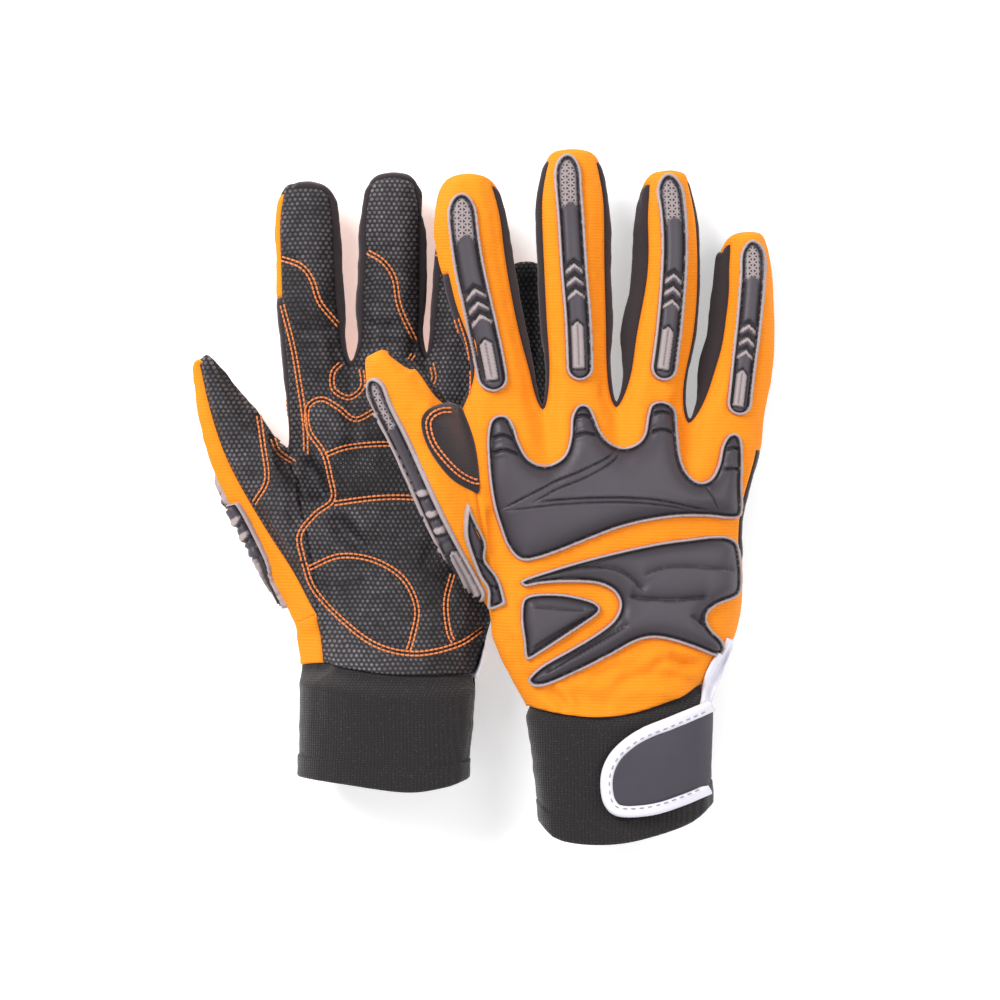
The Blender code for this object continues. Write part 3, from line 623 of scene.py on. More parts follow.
TIP_WIDTHS = {"finger": ((7, 0.76), (6, 0.96)), "thumb": ((7, 0.0), (6, 0.0))}
TIP_SAG = 0.85
VALLEY = 1.9  # how far the skin opens beside each valley between two fingers, above and below the side strips

# Design: folds, stitch lines and guards, on the plan they are seen on

FOLDS = {
    # line, depth, width
    "right": [
        ([(8, -46), (11, -57), (15, -66), (19, -74)], -1.0, 2.6),
        ([(45, -68), (54, -65.5), (64, -65), (75, -67)], -1.6, 2.4),
        ([(58, -62), (68, -60), (78, -62.5)], -1.4, 1.8),
        ([(36, -66), (48, -62), (58, -60)], -0.9, 1.8),
        ([(30, -70), (38, -74), (48, -75.5)], -1.1, 2.6),
        ([(22, -69.5), (27, -73), (30, -78)], -1.4, 1.7),
        ([(66, -56.5), (72, -61), (80, -62)], -1.2, 1.6),
        ([(2.5, -3), (3.5, -13), (3.5, -24)], -1.2, 2.2),
        ([(80, 4), (83, -4)], -0.6, 1.6),
        ([(60, -70), (70, -73), (78, -75)], 0.8, 3.0),
        ([(-22, 24), (-18, 12), (-11, 0)], -0.6, 2.4),
    ],
    "left": [
        ([(-68, 14), (-62, 5), (-57, -4)], -4.2, 3.1),
        ([(-56, -7), (-49, -14.5), (-41, -20.5)], -2.6, 2.7),
        ([(-70, 58), (-60, 60), (-53, 57)], -0.6, 1.8),
        ([(-44, 62), (-34, 61), (-26, 64)], -0.6, 1.8),
        ([(-73, 84), (-65, 86), (-56, 83)], -0.35, 1.5),
        ([(-43, 87), (-33, 89), (-24, 87)], -0.35, 1.5),
        ([(-98, 20), (-90, 14), (-84, 16)], -0.7, 2.0),
        ([(-24, -24), (-14, -17), (-2, -12)], -0.8, 2.6),
        ([(-56, 56), (-50, 48), (-40, 44), (-30, 47), (-22, 55)], -0.5, 2.2),
        ([(-77, 8), (-71, -3), (-66, -15)], -1.3, 3.0),
    ],
}
PALM_LINES = {
    "pad_edge": [(-38, 31), (-46.5, 27), (-53, 31.5), (-59, 34.5), (-64, 31.5), (-63.5, 23), (-58, 15),
        (-55.5, 6.5), (-54.5, -2), (-61, -7.5), (-66.5, -15), (-65, -24.5)],
    "upper": [(-57.5, 14), (-48.5, 17), (-33, 18), (-16, 16)],
    "lower": [(-54.5, -3.5), (-38.5, -1.5), (-24.5, -1.5), (-8.5, -4)],
    "thenar": [(-63.5, -27), (-52, -22.5), (-39.5, -24), (-29, -30.5), (-24, -41), (-25.5, -51.5),
        (-27, -56.5)],
    "heel": [(-65, -24.5), (-61, -35), (-50.5, -46), (-38.5, -54.5), (-24.5, -57.5), (-9.5, -54.5),
        (0, -48.5)],
    "outer_heel": [(-11, -28.5), (-13.5, -39), (-12.5, -49.5), (-10.5, -54)],
    "thumb": [(-82.5, 29), (-80, 18), (-78.5, 5), (-84, -4)],
    "web": [(-77, 20.5), (-74.5, 15), (-68.5, 11)],
    "index": [(-74, 86), (-66.5, 83), (-62.5, 78), (-59.5, 69.5), (-53, 61.5)],
    "middle": [(-42.5, 88.5), (-36.5, 84.5), (-32.5, 78.5), (-30.5, 68), (-25, 55.5)],
    "ring": [(-18, 88.5), (-13.5, 86), (-10, 79), (-8, 68.5), (-3.5, 59.5)],
    "index_side": [(-73.5, 69.5), (-69.5, 54), (-67, 39.5), (-65, 25), (-64.5, 14)],
    "gusset_one": [(-52, 48), (-55, 44), (-54.5, 38), (-49, 35), (-44, 39), (-44.5, 46)],
    "gusset_two": [(-25.5, 51.5), (-27.5, 47), (-26.5, 40.5), (-22, 38), (-18, 41.5), (-19, 48)],
}
PALM_PUFF = {
    "thenar_pad": [(-61, -25.5), (-52, -22.5), (-40, -24.5), (-29.5, -31), (-25, -41), (-26, -52),
        (-33, -55.5), (-42, -52), (-51, -46), (-59, -36)],
    "upper_pad": [(-55.5, 14), (-48, 17), (-33, 18), (-14, 16), (-8, 7), (-8.5, -4), (-24, -1.5),
        (-38, -1.5), (-54, -3.5)],
    "finger_pad": [(-60, 32), (-53, 30), (-46.5, 26.5), (-38, 30), (-30, 34), (-18, 33), (-14, 17),
        (-33, 18.5), (-48, 17.5), (-57, 15)],
    "outer_pad": [(-9, -28), (-4, -30), (0, -40), (-3, -50), (-11, -52.5), (-12, -40)],
}
SIDE_LINE = [(-9.6, 63), (-6.4, 52.5), (-5.2, 43), (-5.4, 35)]
WEB_LINE = [(-11, 31.5), (-15.5, 31), (-19.5, 28.5), (-21, 24), (-18.5, 16), (-11, 7), (-4.5, 3),
    (-0.5, 2.5)]
WEB_PATCH = [(-9, 32.5), (-15, 32), (-20.3, 29), (-21.8, 24), (-19, 15.5), (-12, 6), (-5, 1.5), (-1.5, 0.5),
             (-1.5, 8), (-3, 18), (-5.5, 26)]

KNUCKLE = [
    (1.2, 14), (1.2, 21), (2.2, 26), (5.1, 28.3), (8.7, 27.7), (11.2, 24), (13, 18.4), (16, 13),
    (20.2, 10.6), (24.9, 11), (28.8, 14), (30.6, 20), (31.1, 27), (32.8, 31), (35.3, 32.4), (38.2, 31.3),
    (40.3, 27), (42.1, 22.3), (45.3, 18.4), (49.7, 16.8), (54, 17.7), (57.2, 21.2), (58.6, 28.4),
    (60.1, 32.4), (63.7, 33.8), (67.3, 32.6), (69.4, 29), (70, 20.5), (71, 12.6), (73.4, 7.6), (77.3, 4.7),
    (81.3, 5.8), (84, 10.5), (85.6, 17), (88, 21), (91, 22), (93.3, 19.8), (93.8, 14), (93.5, 3.3),
    (93.6, -5.5), (92, -8.8), (87.7, -9.3), (80.6, -8.6), (70.5, -8.6), (59.7, -10), (49, -12.5),
    (38.2, -16.5), (27.4, -20.8), (20.2, -23.3), (15.2, -24.2), (11.6, -22.9), (8, -18.3), (5.5, -11.8),
    (3.3, -4.6), (1.9, 4),
]
METACARPAL = [
    (13, -31.6), (15.2, -29.8), (23.8, -26.9), (34.6, -23.7), (49, -20.1), (63.3, -17.2), (74, -15.8),
    (83.4, -14.8), (88.5, -15.4), (91.7, -17.9), (92.9, -23.3), (93.4, -30.5), (92.8, -35.5), (90.6, -38),
    (84.9, -40.2), (81.3, -42.7), (80.6, -45.6), (82, -48.5), (85, -51.5), (86.6, -54), (86.8, -56.4),
    (85, -58.3), (82, -58.3), (76.2, -56), (67.6, -53.1), (60.4, -52), (54, -53.5), (46, -57.8),
    (37.4, -62.1), (28.8, -66.1), (22.4, -68.6), (18.4, -68.8), (16.2, -66.8), (17, -64.3), (21.6, -60.3),
    (31.7, -54.6), (40.3, -49.5), (46, -45), (48.2, -40.5), (47.5, -37), (44.6, -34.1), (38.9, -32.3),
    (28.8, -31.9), (20.2, -32.5), (15.2, -33.4),
]
TRIANGLE = [
    (13.7, -38.4), (16.2, -36), (21.6, -35.2), (28.8, -35.5), (36, -37), (40.3, -38.7), (42, -40.9),
    (41, -43.4), (36, -47), (28.8, -51.7), (21.6, -56.4), (16.8, -59.2), (14.9, -58.2), (14.1, -52),
    (13.2, -44.9),
]
WEB_GUARD = [
    (-5.7, -3.2), (-3.5, -8.2), (0.2, -15.5), (1.0, -18.5), (0.9, -23.5), (5.6, -30), (8.2, -38),
    (7.8, -39.6), (2.4, -41), (1.2, -34), (-2, -28.5), (-6.4, -17), (-6.9, -10),
]
CREASES = {
    # line, depth, width
    "knuckle_guard": [
        ([(5.8, -5.7), (20.2, 1.5), (34.6, 8), (41.8, 11.5), (46.8, 14.8)], -0.75, 0.5),
        ([(17.3, -3.2), (27.4, 1.9), (37.4, 6.2), (44.6, 10.5), (49, 14)], -0.6, 0.5),
        ([(17.7, -3.2), (34.6, -1.7), (52.5, -1.6), (63.3, -2.5), (74, -4.6), (82.7, -6.2)], -0.75, 0.5),
        ([(6.9, -6), (20.2, -4.6), (36, -3.3), (52.5, -3.2), (64.7, -4.3), (74, -6)], -0.5, 0.5),
        ([(79.8, 2.6), (82, -1.5), (84.2, -5.7)], -0.45, 0.6),
        ([(3, 19.6), (7, 20.6), (11.2, 19)], -1.3, 0.75),
        ([(2.8, 14.2), (7.5, 15.4), (12.8, 13.8)], -1.3, 0.75),
        ([(32, 27), (35.3, 27.8), (38.6, 27)], -1.3, 0.75),
        ([(31.8, 20.3), (36, 21.2), (40.3, 20.6)], -1.3, 0.75),
        ([(61, 28.7), (63.9, 29.3), (67, 28.7)], -1.3, 0.75),
        ([(60, 21.9), (64, 22.5), (68.2, 21.5)], -1.3, 0.75),
        ([(87.5, 15.9), (90, 16.5), (92.6, 16)], -1.2, 0.7),
        ([(86.6, 8.8), (89.7, 9.3), (92.6, 9)], -1.2, 0.7),
    ],
    "metacarpal_guard": [
        ([(58, -36), (52, -30), (45, -26.8), (35, -26.2), (24, -28.4)], -2.3, 1.7),
        ([(82, -37.6), (70, -38.4), (60, -38.2), (51, -37.2)], -2.4, 1.8),
        ([(53, -46.5), (44.5, -51), (33, -57.5), (22, -64.5)], -1.9, 1.5),
        ([(86, -51), (79, -47.5), (73, -43.5)], -1.7, 1.4),
        ([(91, -28), (80, -27), (66, -26.5), (56, -30)], -1.1, 1.5),
    ],
    "triangle_guard": [
        ([(37, -42), (28, -41.4), (17.5, -40.6)], -0.9, 1.2),
        ([(17, -55), (27, -49), (37, -43.4)], -0.8, 1.2),
    ],
    "web_guard": [([(-3, -23.5), (3, -25.5)], -1.2, 0.9), ([(1, -32.5), (7, -34)], -1.0, 0.9)],
}
# Straps: centreline from the tip, half width
STRAPS = {
    "finger_guard_index": ([(-7.3, 107.3), (-7.2, 97), (-4.9, 81), (-1.1, 64), (2.0, 50), (4.3, 36.6)],
        5.4),
    "finger_guard_middle": ([(30.3, 122.1), (30.6, 110), (31.3, 100), (32.5, 80), (33.7, 65), (34.3, 52),
        (34.6, 40.4)], 5.0),
    "finger_guard_ring": ([(67, 116), (68.8, 100), (69, 84), (67.2, 62), (64.3, 40.5)], 4.9),
    "finger_guard_little": ([(98, 92.5), (97.8, 78), (96.2, 60), (94.2, 45), (92, 28)], 4.7),
    "thumb_guard": ([(-39, 41), (-35.5, 31), (-29.5, 19), (-23, 5), (-17, -8.5), (-11.5, -19.5),
        (-6, -29.5), (-0.6, -39.5)], 3.6),
}
RIM = 1.15
BULLET = 1.7
TEETH_SHIFT = 0.7  # towards the outer edge of the thumb's guard


def guard_edge(d):
    """Height and marks of a guard's grey rim and the groove inside it, over the distance from its edge. The groove's
    mark is where shade is painted.
    """
    rim = steps(-0.05, 0.4, d) * (1 - steps(RIM, RIM + 0.4, d))
    groove = hump(d - RIM - 0.3, 0.22)
    return 1.9 * rim, 1 - steps(RIM - 0.15, RIM + 0.1, d), groove


def tint(d, name):
    """How far a guard's edge is painted a darker red-orange, as shade and light bounced off the knit that it is
    moulded to.
    """
    return (1 - steps(0.12, 0.45, d)) * (name not in ("thumb_guard", "web_guard"))


def crease_sum(xy, d, creases):
    """Depth of the grooves in a guard, and the painted shade in them. A groove wider than a millimetre is a ledge,
    steep on its left.
    """
    depth, dark = np.zeros(len(xy)), np.zeros(len(xy))
    for line, deep, width in creases:
        dist, share, side = line_distance(xy, line)
        ends = steps(0, 0.1, share) * steps(0, 0.1, 1 - share)
        if width > 1:
            off = dist * side
            shape = steps(0.35, -0.1, off) * np.exp(np.minimum(off, 0) / (2.2 * width))
            depth += deep * shape * ends
            dark = np.maximum(dark, 0.95 * shape**3 * ends)
        else:
            lip = 0.35 * hump(dist - 1.5 * width, 0.8 * width) * ends
            depth += deep * (hump(dist, 0.7 * width) * (0.3 + 0.7 * ends) - lip)
            dark = np.maximum(dark, hump(dist, 0.55 * width) * ends)
    inner = steps(RIM + 0.3, RIM + 0.8, d)
    return depth * inner, dark * inner


def strap_relief(name, centre, half):
    """The pattern along a finger's guard: a mesh inset, a smooth hood, three arrows and a bar, and the masks of its
    painted shade and painted highlight.
    """

    def relief(xy, d):
        dist, share, side = line_distance(xy, centre)
        across = dist * side
        length = np.linalg.norm(np.diff(centre, axis=0), axis=1).sum()
        along = share * length
        height, grey, groove = guard_edge(d)
        # dark is painted shade: in the groove inside the rim, where the hood starts, in the thumb's notches, in the
        # recesses before the arrows and in the ring round the bar.
        dark = 0.4 * groove
        inner = steps(RIM + 0.35, RIM + 0.75, d)
        inset = 1 - steps(0.205, 0.22, share - 0.3 * np.minimum(dist, 4) ** 2 / length)
        weave = inset * steps(RIM + 0.95, RIM + 1.25, d)
        height += inner * (1.0 * inset + 0.25 * weave)
        arch = along - 0.205 * length - 0.3 * np.minimum(dist, 4) ** 2
        hood = steps(-0.3, 0.9, arch) * inner
        ridge = half - RIM - 0.7
        crown = np.sqrt(np.clip(1 - (dist / ridge) ** 2, 0, 1))
        height += hood * (0.5 + 1.9 * crown)
        dark = np.maximum(dark, hump(arch, 0.4) * inner * 0.9)
        # light is a painted highlight along the top of the hood's rounded ridge.
        light = hood * crown**3
        reach = half - RIM - 0.75
        if name == "thumb_guard":
            height += 0.9 * hood
            for place in (0.495, 0.585, 0.655):
                off = (share - place) * length - 0.25 * across
                tooth = 1 - steps(0.75, 1.0, np.hypot(off / 1.3, (across - TEETH_SHIFT) / 2.6))
                notch = hump(off - 2.2, 0.6) * steps(-2.2, -1.4, across)
                height += (0.6 * tooth - 1.1 * notch) * inner
                grey = np.maximum(grey, tooth * inner)
                dark = np.maximum(dark, notch * inner)
            height -= 0.8 * hump((share - 0.71) * length, 0.9) * inner
            bar_from, bar_to, bar_half, shift = 0.75, 0.965, 1.3, TEETH_SHIFT
        else:
            for number in range(3):
                off = along - 0.49 * length - 4.7 * number - 0.8 * dist
                inside = 1 - steps(reach - 0.1, reach + 0.25, dist)
                recess = steps(-2.9, -2.3, off) * (1 - steps(-0.7, -0.5, off)) * inside
                arrow = steps(-0.8, -0.62, off) * (1 - steps(0.62, 0.8, off)) * inside
                height += -1.6 * recess + 0.3 * arrow
                grey = np.maximum(grey, arrow * 0.9)
                dark = np.maximum(dark, recess * steps(-2.6, -1.4, off))
            bar_from, bar_to, bar_half, shift = 0.735, 0.945, min(2.0, half - 2.6), -0.4
        start = along - bar_from * length - 0.9 * np.abs(across - shift)
        off = np.abs(across - shift)
        end = bar_to * length - along
        bar = steps(0, 0.35, start) * steps(0, 0.4, end)
        bar *= 1 - steps(bar_half - 0.12, bar_half + 0.12, off)
        ring = steps(-0.9, -0.4, start) * steps(-0.8, -0.3, end)
        ring *= 1 - steps(bar_half + 0.2, bar_half + 0.8, off)
        middle = hump(across - shift, 0.22) * steps(0.8, 1.6, start) * steps(0.8, 1.6, end)
        height += (-1.2 * (ring - bar) - 0.5 * bar * middle) * inner
        dark = np.maximum(dark, (ring - bar) * inner * 0.9)
        grey = np.maximum(grey, bar * (0.85 - 0.75 * middle))
        return np.maximum(height, 0.3 * steps(-0.05, 0.4, d)), {"grey": grey, "mesh_inset": weave,
            "crease": dark, "crown": light, "tint": tint(d, name)}

    return relief


def body_relief(name, top, slope=2.4):
    def relief(xy, d, creases):
        height, grey, groove = guard_edge(d)
        swell = 1 - np.exp(-np.maximum(d - RIM - 0.4, 0) / slope)
        depth, dark = crease_sum(xy, d, creases)
        height += ((top - 0.9) * swell + 0.9) * steps(RIM + 0.35, RIM + 0.8, d) + depth
        # Marks for the material: painted shade in the creases and in the groove inside the rim, and a painted
        # highlight that grows towards the top of the swell.
        marks = {"grey": grey, "mesh_inset": np.zeros(len(xy)), "crease": np.maximum(dark, 0.4 * groove),
            "crown": swell**2, "tint": tint(d, name)}
        return np.maximum(height, 0.5 * steps(-0.05, 0.4, d)), marks

    return relief


def strap_outline(centre, half):
    """A strip about a centreline, with a round end and a longer, bullet-shaped one at the fingertip."""
    c = spaced(centre, 1.0)
    along = unit(np.gradient(c, axis=0))
    across = leftward(along) * half
    keep = slice(round(BULLET * half), len(c) - round(half))
    left, right = c[keep] + across[keep], c[keep] - across[keep]
    ends = []
    turn = math.pi * np.arange(1, 8)[:, None] / 8
    for middle, first, outward, reach in ((c[keep][-1], left[-1], along[keep][-1], half),
            (c[keep][0], right[0], -along[keep][0], BULLET * half)):
        ends.append(middle + (first - middle) * np.cos(turn) + outward * reach * np.sin(turn))
    return np.vstack([left, ends[0], right[::-1], ends[1]])


def inside_ring(points, ring):
    """Whether each point lies inside a closed line."""
    hits = np.zeros(len(points), bool)
    for (ax, ay), (bx, by) in zip(ring, np.roll(ring, -1, axis=0)):
        cross = (ay > points[:, 1]) != (by > points[:, 1])
        with np.errstate(divide="ignore", invalid="ignore"):
            x = (bx - ax) * (points[:, 1] - ay) / (by - ay) + ax
        hits ^= cross & (points[:, 0] < x)
    return hits


def filled(outline, insets, spacing, extra=()):
    """Triangles that fill an outline, with rows of points at the given distances inside it."""
    dense = spaced(outline, 0.1, closed=True) if len(outline) < 400 else np.array(outline)
    edge = spaced(outline, 0.6, closed=True)
    tree = tree_of(dense)
    inward = leftward(unit(np.roll(edge, -1, axis=0) - np.roll(edge, 1, axis=0)))
    area = 0.5 * np.sum(edge[:, 0] * np.roll(edge[:, 1], -1) - np.roll(edge[:, 0], -1) * edge[:, 1])
    if area < 0:
        inward = -inward
    low, high = edge.min(0), edge.max(0)

    rows = []
    for depth in insets:
        row = edge + inward * depth
        row = row[inside_ring(row, edge)]
        rows.append(row[distances(tree, row) > depth * 0.97])
    xs, ys = np.arange(low[0], high[0], spacing), np.arange(low[1], high[1], spacing * 0.866)
    grid = np.array([(x + (spacing / 2 if k % 2 else 0), y) for k, y in enumerate(ys) for x in xs])
    grid = grid[inside_ring(grid, edge)]
    rows.append(grid[distances(tree, grid) > insets[-1] + spacing * 0.5])
    for line in extra:
        line = line[inside_ring(line, edge)]
        if len(line):
            rows.append(line[distances(tree, line) > 1.9])
    inner = np.vstack([r for r in rows if len(r)])
    # no two points nearer than a quarter millimetre
    keys = np.round(inner / 0.25).astype(int)
    _, first = np.unique(keys, axis=0, return_index=True)
    inner = inner[np.sort(first)]
    points = np.vstack([edge, inner])
    count = len(edge)
    edges = [(i, (i + 1) % count) for i in range(count)]
    found = delaunay_2d_cdt([Vector(p) for p in points], edges, [], 1, 1e-6)
    xy = np.array([tuple(p) for p in found[0]])
    faces = []
    for f in found[2]:
        a, b, c = (xy[i] for i in f[:3])
        turn = (b[0] - a[0]) * (c[1] - a[1]) - (b[1] - a[1]) * (c[0] - a[0])
        faces.append(tuple(f) if turn > 0 else tuple(reversed(f)))
    return xy, faces, distances(tree, xy)


def closed_slab(outer, inner, faces, above):
    """Points and faces of a body between two sheets with the same triangles."""
    count = len(outer)
    made = [tuple(f if above else f[::-1]) for f in faces]
    edges = dict.fromkeys((a, b) for f in made for a, b in zip(f, f[1:] + f[:1]))
    walls = [(b, a, a + count, b + count) for a, b in edges if (b, a) not in edges]
    under = [tuple(i + count for i in f[::-1]) for f in made]
    return np.vstack([outer, inner]), made + under + walls


def laid(name, glove, outline, relief, body, slot, base, insets=(0.2, 0.4, 0.8, 1.1, 1.3, 1.5, 1.8, 2.2,
        2.9), spacing=0.9, extra=(), sink=0.35, above=None):
    above = glove.above if above is None else above
    xy, faces, d = filled(outline, insets, spacing, extra)
    height, marks = relief(xy, d)
    hit, normal = base.lay(xy, above)
    under = not above and glove.side == "left"
    outer = hit + normal * (np.minimum(height, GUARD_ROOM) if under else height)[:, None]
    inner = hit - normal * sink
    if under:
        outer[:, 2] = np.maximum(outer[:, 2], TABLE_GAP)
    points, faces = closed_slab(outer, inner, faces, above)
    zero = np.zeros(len(outer))
    kind = "soft" if slot == "pad_foam" else "visual"
    return add_mesh(f"{glove.side}_{name}_{kind}", points, faces, body, slot, [f"{glove.side}_{name}"],
                    attribute={key: np.r_[values, zero] for key, values in marks.items()})


# Thread


def dashes(lines, base, above, pitch=1.75, length=1.6, radius=0.34, rise=0.34):
    """Stitches as short bent threads along plan lines, with both ends in the cloth."""
    sides, rings = 6, 6
    points, faces = [], []
    circle = [(math.cos(2 * math.pi * k / sides), math.sin(2 * math.pi * k / sides)) for k in range(sides)]
    for line in lines:
        run = spaced(line, 0.15)
        for start in np.arange(pitch * 0.25, lengths(run)[-1] - length, pitch):
            xy = at_lengths(run, start + np.linspace(0, length, rings))
            hit, normal = base.lay(xy, above)
            aside = np.linalg.norm(hit[:, :2] - xy, axis=1).max()
            if np.abs(np.diff(hit[:, 2])).max() > 1.2 or aside > 0.3:
                continue  # it would hang between two surfaces
            u = np.linspace(-1, 1, rings)
            lift = rise * (1 - u**4) - 0.25 * u**8
            centre = hit + normal * lift[:, None]
            way = unit(np.gradient(centre, axis=0))
            side = unit(np.cross(way, normal))
            up = np.cross(side, way)
            wide = radius * np.sqrt(np.clip(1 - 0.72 * u**6, 0.05, 1))
            first = len(points)
            for k in range(rings):
                for c, s in circle:
                    points.append(centre[k] + (side[k] * c * 1.1 + up[k] * s) * wide[k])
            for k in range(rings - 1):
                for i in range(sides):
                    a, b = first + k * sides + i, first + k * sides + (i + 1) % sides
                    faces.append((a, a + sides, b + sides, b))
            faces.append(tuple(first + i for i in range(sides)))
            faces.append(tuple(first + (rings - 1) * sides + i for i in reversed(range(sides))))
    return points, faces


def offset_line(line, by):
    run = spaced(line, 0.8)
    return run + left_of(run) * by


def double_row(line, gap=1.5):
    return [offset_line(line, -gap / 2), offset_line(line, gap / 2)]


# Gloves


def carry_line(line, source, target):
    if source is target:
        return np.array(line, float)
    return np.array([carry(p, source.cage, target.cage) for p in line])


class Glove:
    """The smooth skin of one glove, at both levels, plain and with its folds and seams."""

    def __init__(self, side, plan):
        self.side = side
        self.body = f"{side}_glove"
        self.cage = Cage(side, plan)
        self.above = self.cage.upper_is_back  # whether the back faces up
        faces = [corners for _, corners in self.cage.faces]
        labels = [LABELS.index(label) for label, _ in self.cage.faces]
        self.widen_tips()
        wanted = np.array(self.cage.points)
        strict = np.array([self.strictness(key) for key in self.cage.index])
        control = wanted.copy()
        for _ in range(4):
            reached = subdivided(control, faces, labels, 1)[0][: len(wanted)]
            control += (wanted - reached) * 0.8 * strict[:, None]
        self.levels = {}
        for level in (HIDDEN_LEVEL, VISIBLE_LEVEL):
            co, quads, found, _ = subdivided(control, faces, labels, level)
            self.shape_ends(co)
            self.levels[level] = [co, quads, found, point_normals(co, quads)]
        co, quads, found, normal = self.levels[VISIBLE_LEVEL]
        self.base = Surface(smoothed(co, quads, 4), quads, smoothed(normal, quads, 6))
        if side == "left":
            found = np.where(found == LABELS.index("thumb_back"), LABELS.index("back_panel"), found)
        self.seam = tree_of(co[seam_edges(quads, found)])

    @staticmethod
    def strictness(key):
        """How closely the smooth surface keeps to a cage point: less at the fingertips, which are round."""
        _, strip, k, _ = key
        return {FINGER_ROWS: 0.6, FINGER_ROWS - 1: 0.9}.get(k, 1.0) if strip != "hand" else 1.0

    def widen_tips(self):
        """Makes the last rows of each finger nearly as wide as the one before them. shape_ends rounds them."""
        cage = self.cage
        self.tips = []
        for strip in (0, 1, 2, 3, "thumb"):
            rows = {k: [cage.points[cage.index[("up", strip, k, j)]][:2].copy() for j in (0, COLUMNS)]
                for k in (4, 5, 6, 7)}
            width = {k: np.linalg.norm(b - a) for k, (a, b) in rows.items()}
            way = sum(rows[7]) / 2 - sum(rows[4]) / 2
            way /= np.linalg.norm(way)
            across = np.array([way[1], -way[0]])
            middle = sum(rows[6]) / 2
            for k, share in TIP_WIDTHS["thumb" if strip == "thumb" else "finger"]:
                centre = sum(rows[k]) / 2
                centre_to = middle + way * ((centre - middle) @ way)
                for layer in ("up", "low", "mid"):
                    for j in range(COLUMNS + 1):
                        if (layer, strip, k, j) in cage.index:
                            point = cage.points[cage.index[(layer, strip, k, j)]]
                            off = point[:2] - centre
                            along = off @ way if layer == "mid" else 0.0
                            wider = max(width[5] * share / width[k], 1.0)
                            point[:2] = centre_to + across * (off @ across) * wider + way * along
            end = middle + way * ((sum(rows[7]) / 2 - middle) @ way)
            self.tips.append((end, way, across, width[5] / 2 + 1.2))

    def shape_ends(self, co):
        """Rounds the fingertips, and the valleys between the fingers."""
        for tip, way, across, half in self.tips:
            off = co[:, :2] - tip
            along, side = -(off @ way), off @ across
            mine = (along > -6) & (along < 22) & (np.abs(side) < half + 7)
            share = np.clip(np.abs(side[mine]) / (half + 0.8), 0, 0.985)
            sag = half * TIP_SAG * (1 - np.sqrt(1 - share**2))
            fade = np.clip(1 - (along[mine] - along[mine].min()) / 22, 0, 1)
            co[mine, :2] -= way * (sag * fade)[:, None]
        plan = self.cage.plan["fingers"]
        for name in ("middle", "ring", "little"):
            root = np.array(plan[name]["left"][0], float)
            off = co[:, :2] - root
            near = co[np.hypot(off[:, 0], off[:, 1] - 5) < 9, 2]
            middle, reach = (near.max() + near.min()) / 2, (near.max() - near.min()) / 2
            edge = steps(0.25, 0.8, np.abs(co[:, 2] - middle) / reach)
            open_by = VALLEY * edge * hump(off[:, 0], 6.5) * hump(off[:, 1] - 5, 6)
            co[:, 0] += np.tanh(off[:, 0] / 0.7) * open_by

    def add_relief(self, left):
        """Moves the skin's points: seam grooves, quilting, folds and small creases."""
        palm_lines = [carry_line(line, left, self) for line in PALM_LINES.values()]
        palm_tree = tree_of(np.vstack([spaced(line, 0.3) for line in palm_lines]))
        puffs = [carry_line(line, left, self) for line in PALM_PUFF.values()]
        offset = Vector((0, 0, 40.0 if self.side == "left" else 90.0))
        for data in self.levels.values():
            co, quads, found, normal = data
            label = np.zeros(len(co), int)
            label[quads.ravel()] = np.repeat(found, 4)
            seam = distances(self.seam, co)
            free = steps(0.4, 3.0, seam)
            palm = np.isin(label, [LABELS.index("palm_panel"), LABELS.index("thumb_palm")])
            back_up = normal[:, 2] * (1 if self.above else -1) > -0.1
            move = -0.55 * hump(seam, 0.7) + 0.35 * hump(seam - 2.2, 1.3)
            move *= 0.15 + 0.85 * np.abs(normal[:, 2])
            rough = np.array([noise.fractal(Vector(p) * 0.075 + offset, 0.9, 2.1, 3) for p in co])
            fine = np.array([noise.noise(Vector((p[0] * 0.16, p[1] * 0.34, p[2] * 0.2)) + offset)
                for p in co])
            move += free * (rough * np.where(palm, 0.55, 0.4) + fine * np.where(palm, 0.22, 0.16))
            on_palm = palm & ~back_up
            flat = np.full(len(co), 99.0)
            flat[on_palm] = distances(palm_tree, co[on_palm][:, :2])
            puff = np.zeros(len(co))
            for outline in puffs:
                where = np.where(on_palm)[0]
                where = where[inside_ring(co[where][:, :2], spaced(outline, 0.8, closed=True))]
                edge = tree_of(spaced(outline, 0.4, closed=True))
                puff[where] = np.maximum(puff[where],
                    1.5 * (1 - np.exp(-distances(edge, co[where][:, :2]) / 3.2)))
            move += free * (-0.85 * hump(flat, 0.95) + puff)
            for line, depth, width in FOLDS[self.side]:
                up = normal[:, 2] > -0.1
                dist, share, _ = line_distance(co[:, :2], spaced(line, 2.0))
                ends = steps(0, 0.25, share) * steps(0, 0.25, 1 - share)
                fold = hump(dist, width) - 0.45 * hump(dist - 2.2 * width, width)
                move += free * up * depth * fold * ends
            data.append(co + normal * move[:, None])
        co, quads, found, normal, moved = self.levels[VISIBLE_LEVEL]
        self.skin = Surface(moved, quads, normal)

    def build_panels(self):
        for number, (name, slot) in enumerate(PANELS.items()):
            level = VISIBLE_LEVEL if name in ON_SHOW[self.side] else HIDDEN_LEVEL
            co, quads, found, normal, moved = self.levels[level]
            mine = quads[found == number]
            used = np.unique(mine)
            renumber = np.full(len(co), -1)
            renumber[used] = np.arange(len(used))
            faces = renumber[mine]
            points, normals = moved[used], normal[used]
            rim = open_edges(faces)
            ring = sorted({i for e in rim for i in e})
            lower = {old: len(points) + k for k, old in enumerate(ring)}
            hem = points[ring] - normals[ring] * HEM
            rows = [tuple(f) for f in faces] + [(b, a, lower[a], lower[b]) for a, b in rim]
            add_mesh(f"{self.side}_{name}_skin", np.vstack([points, hem]), rows, self.body, slot,
                [f"{self.side}_{name}"])


# Wrist

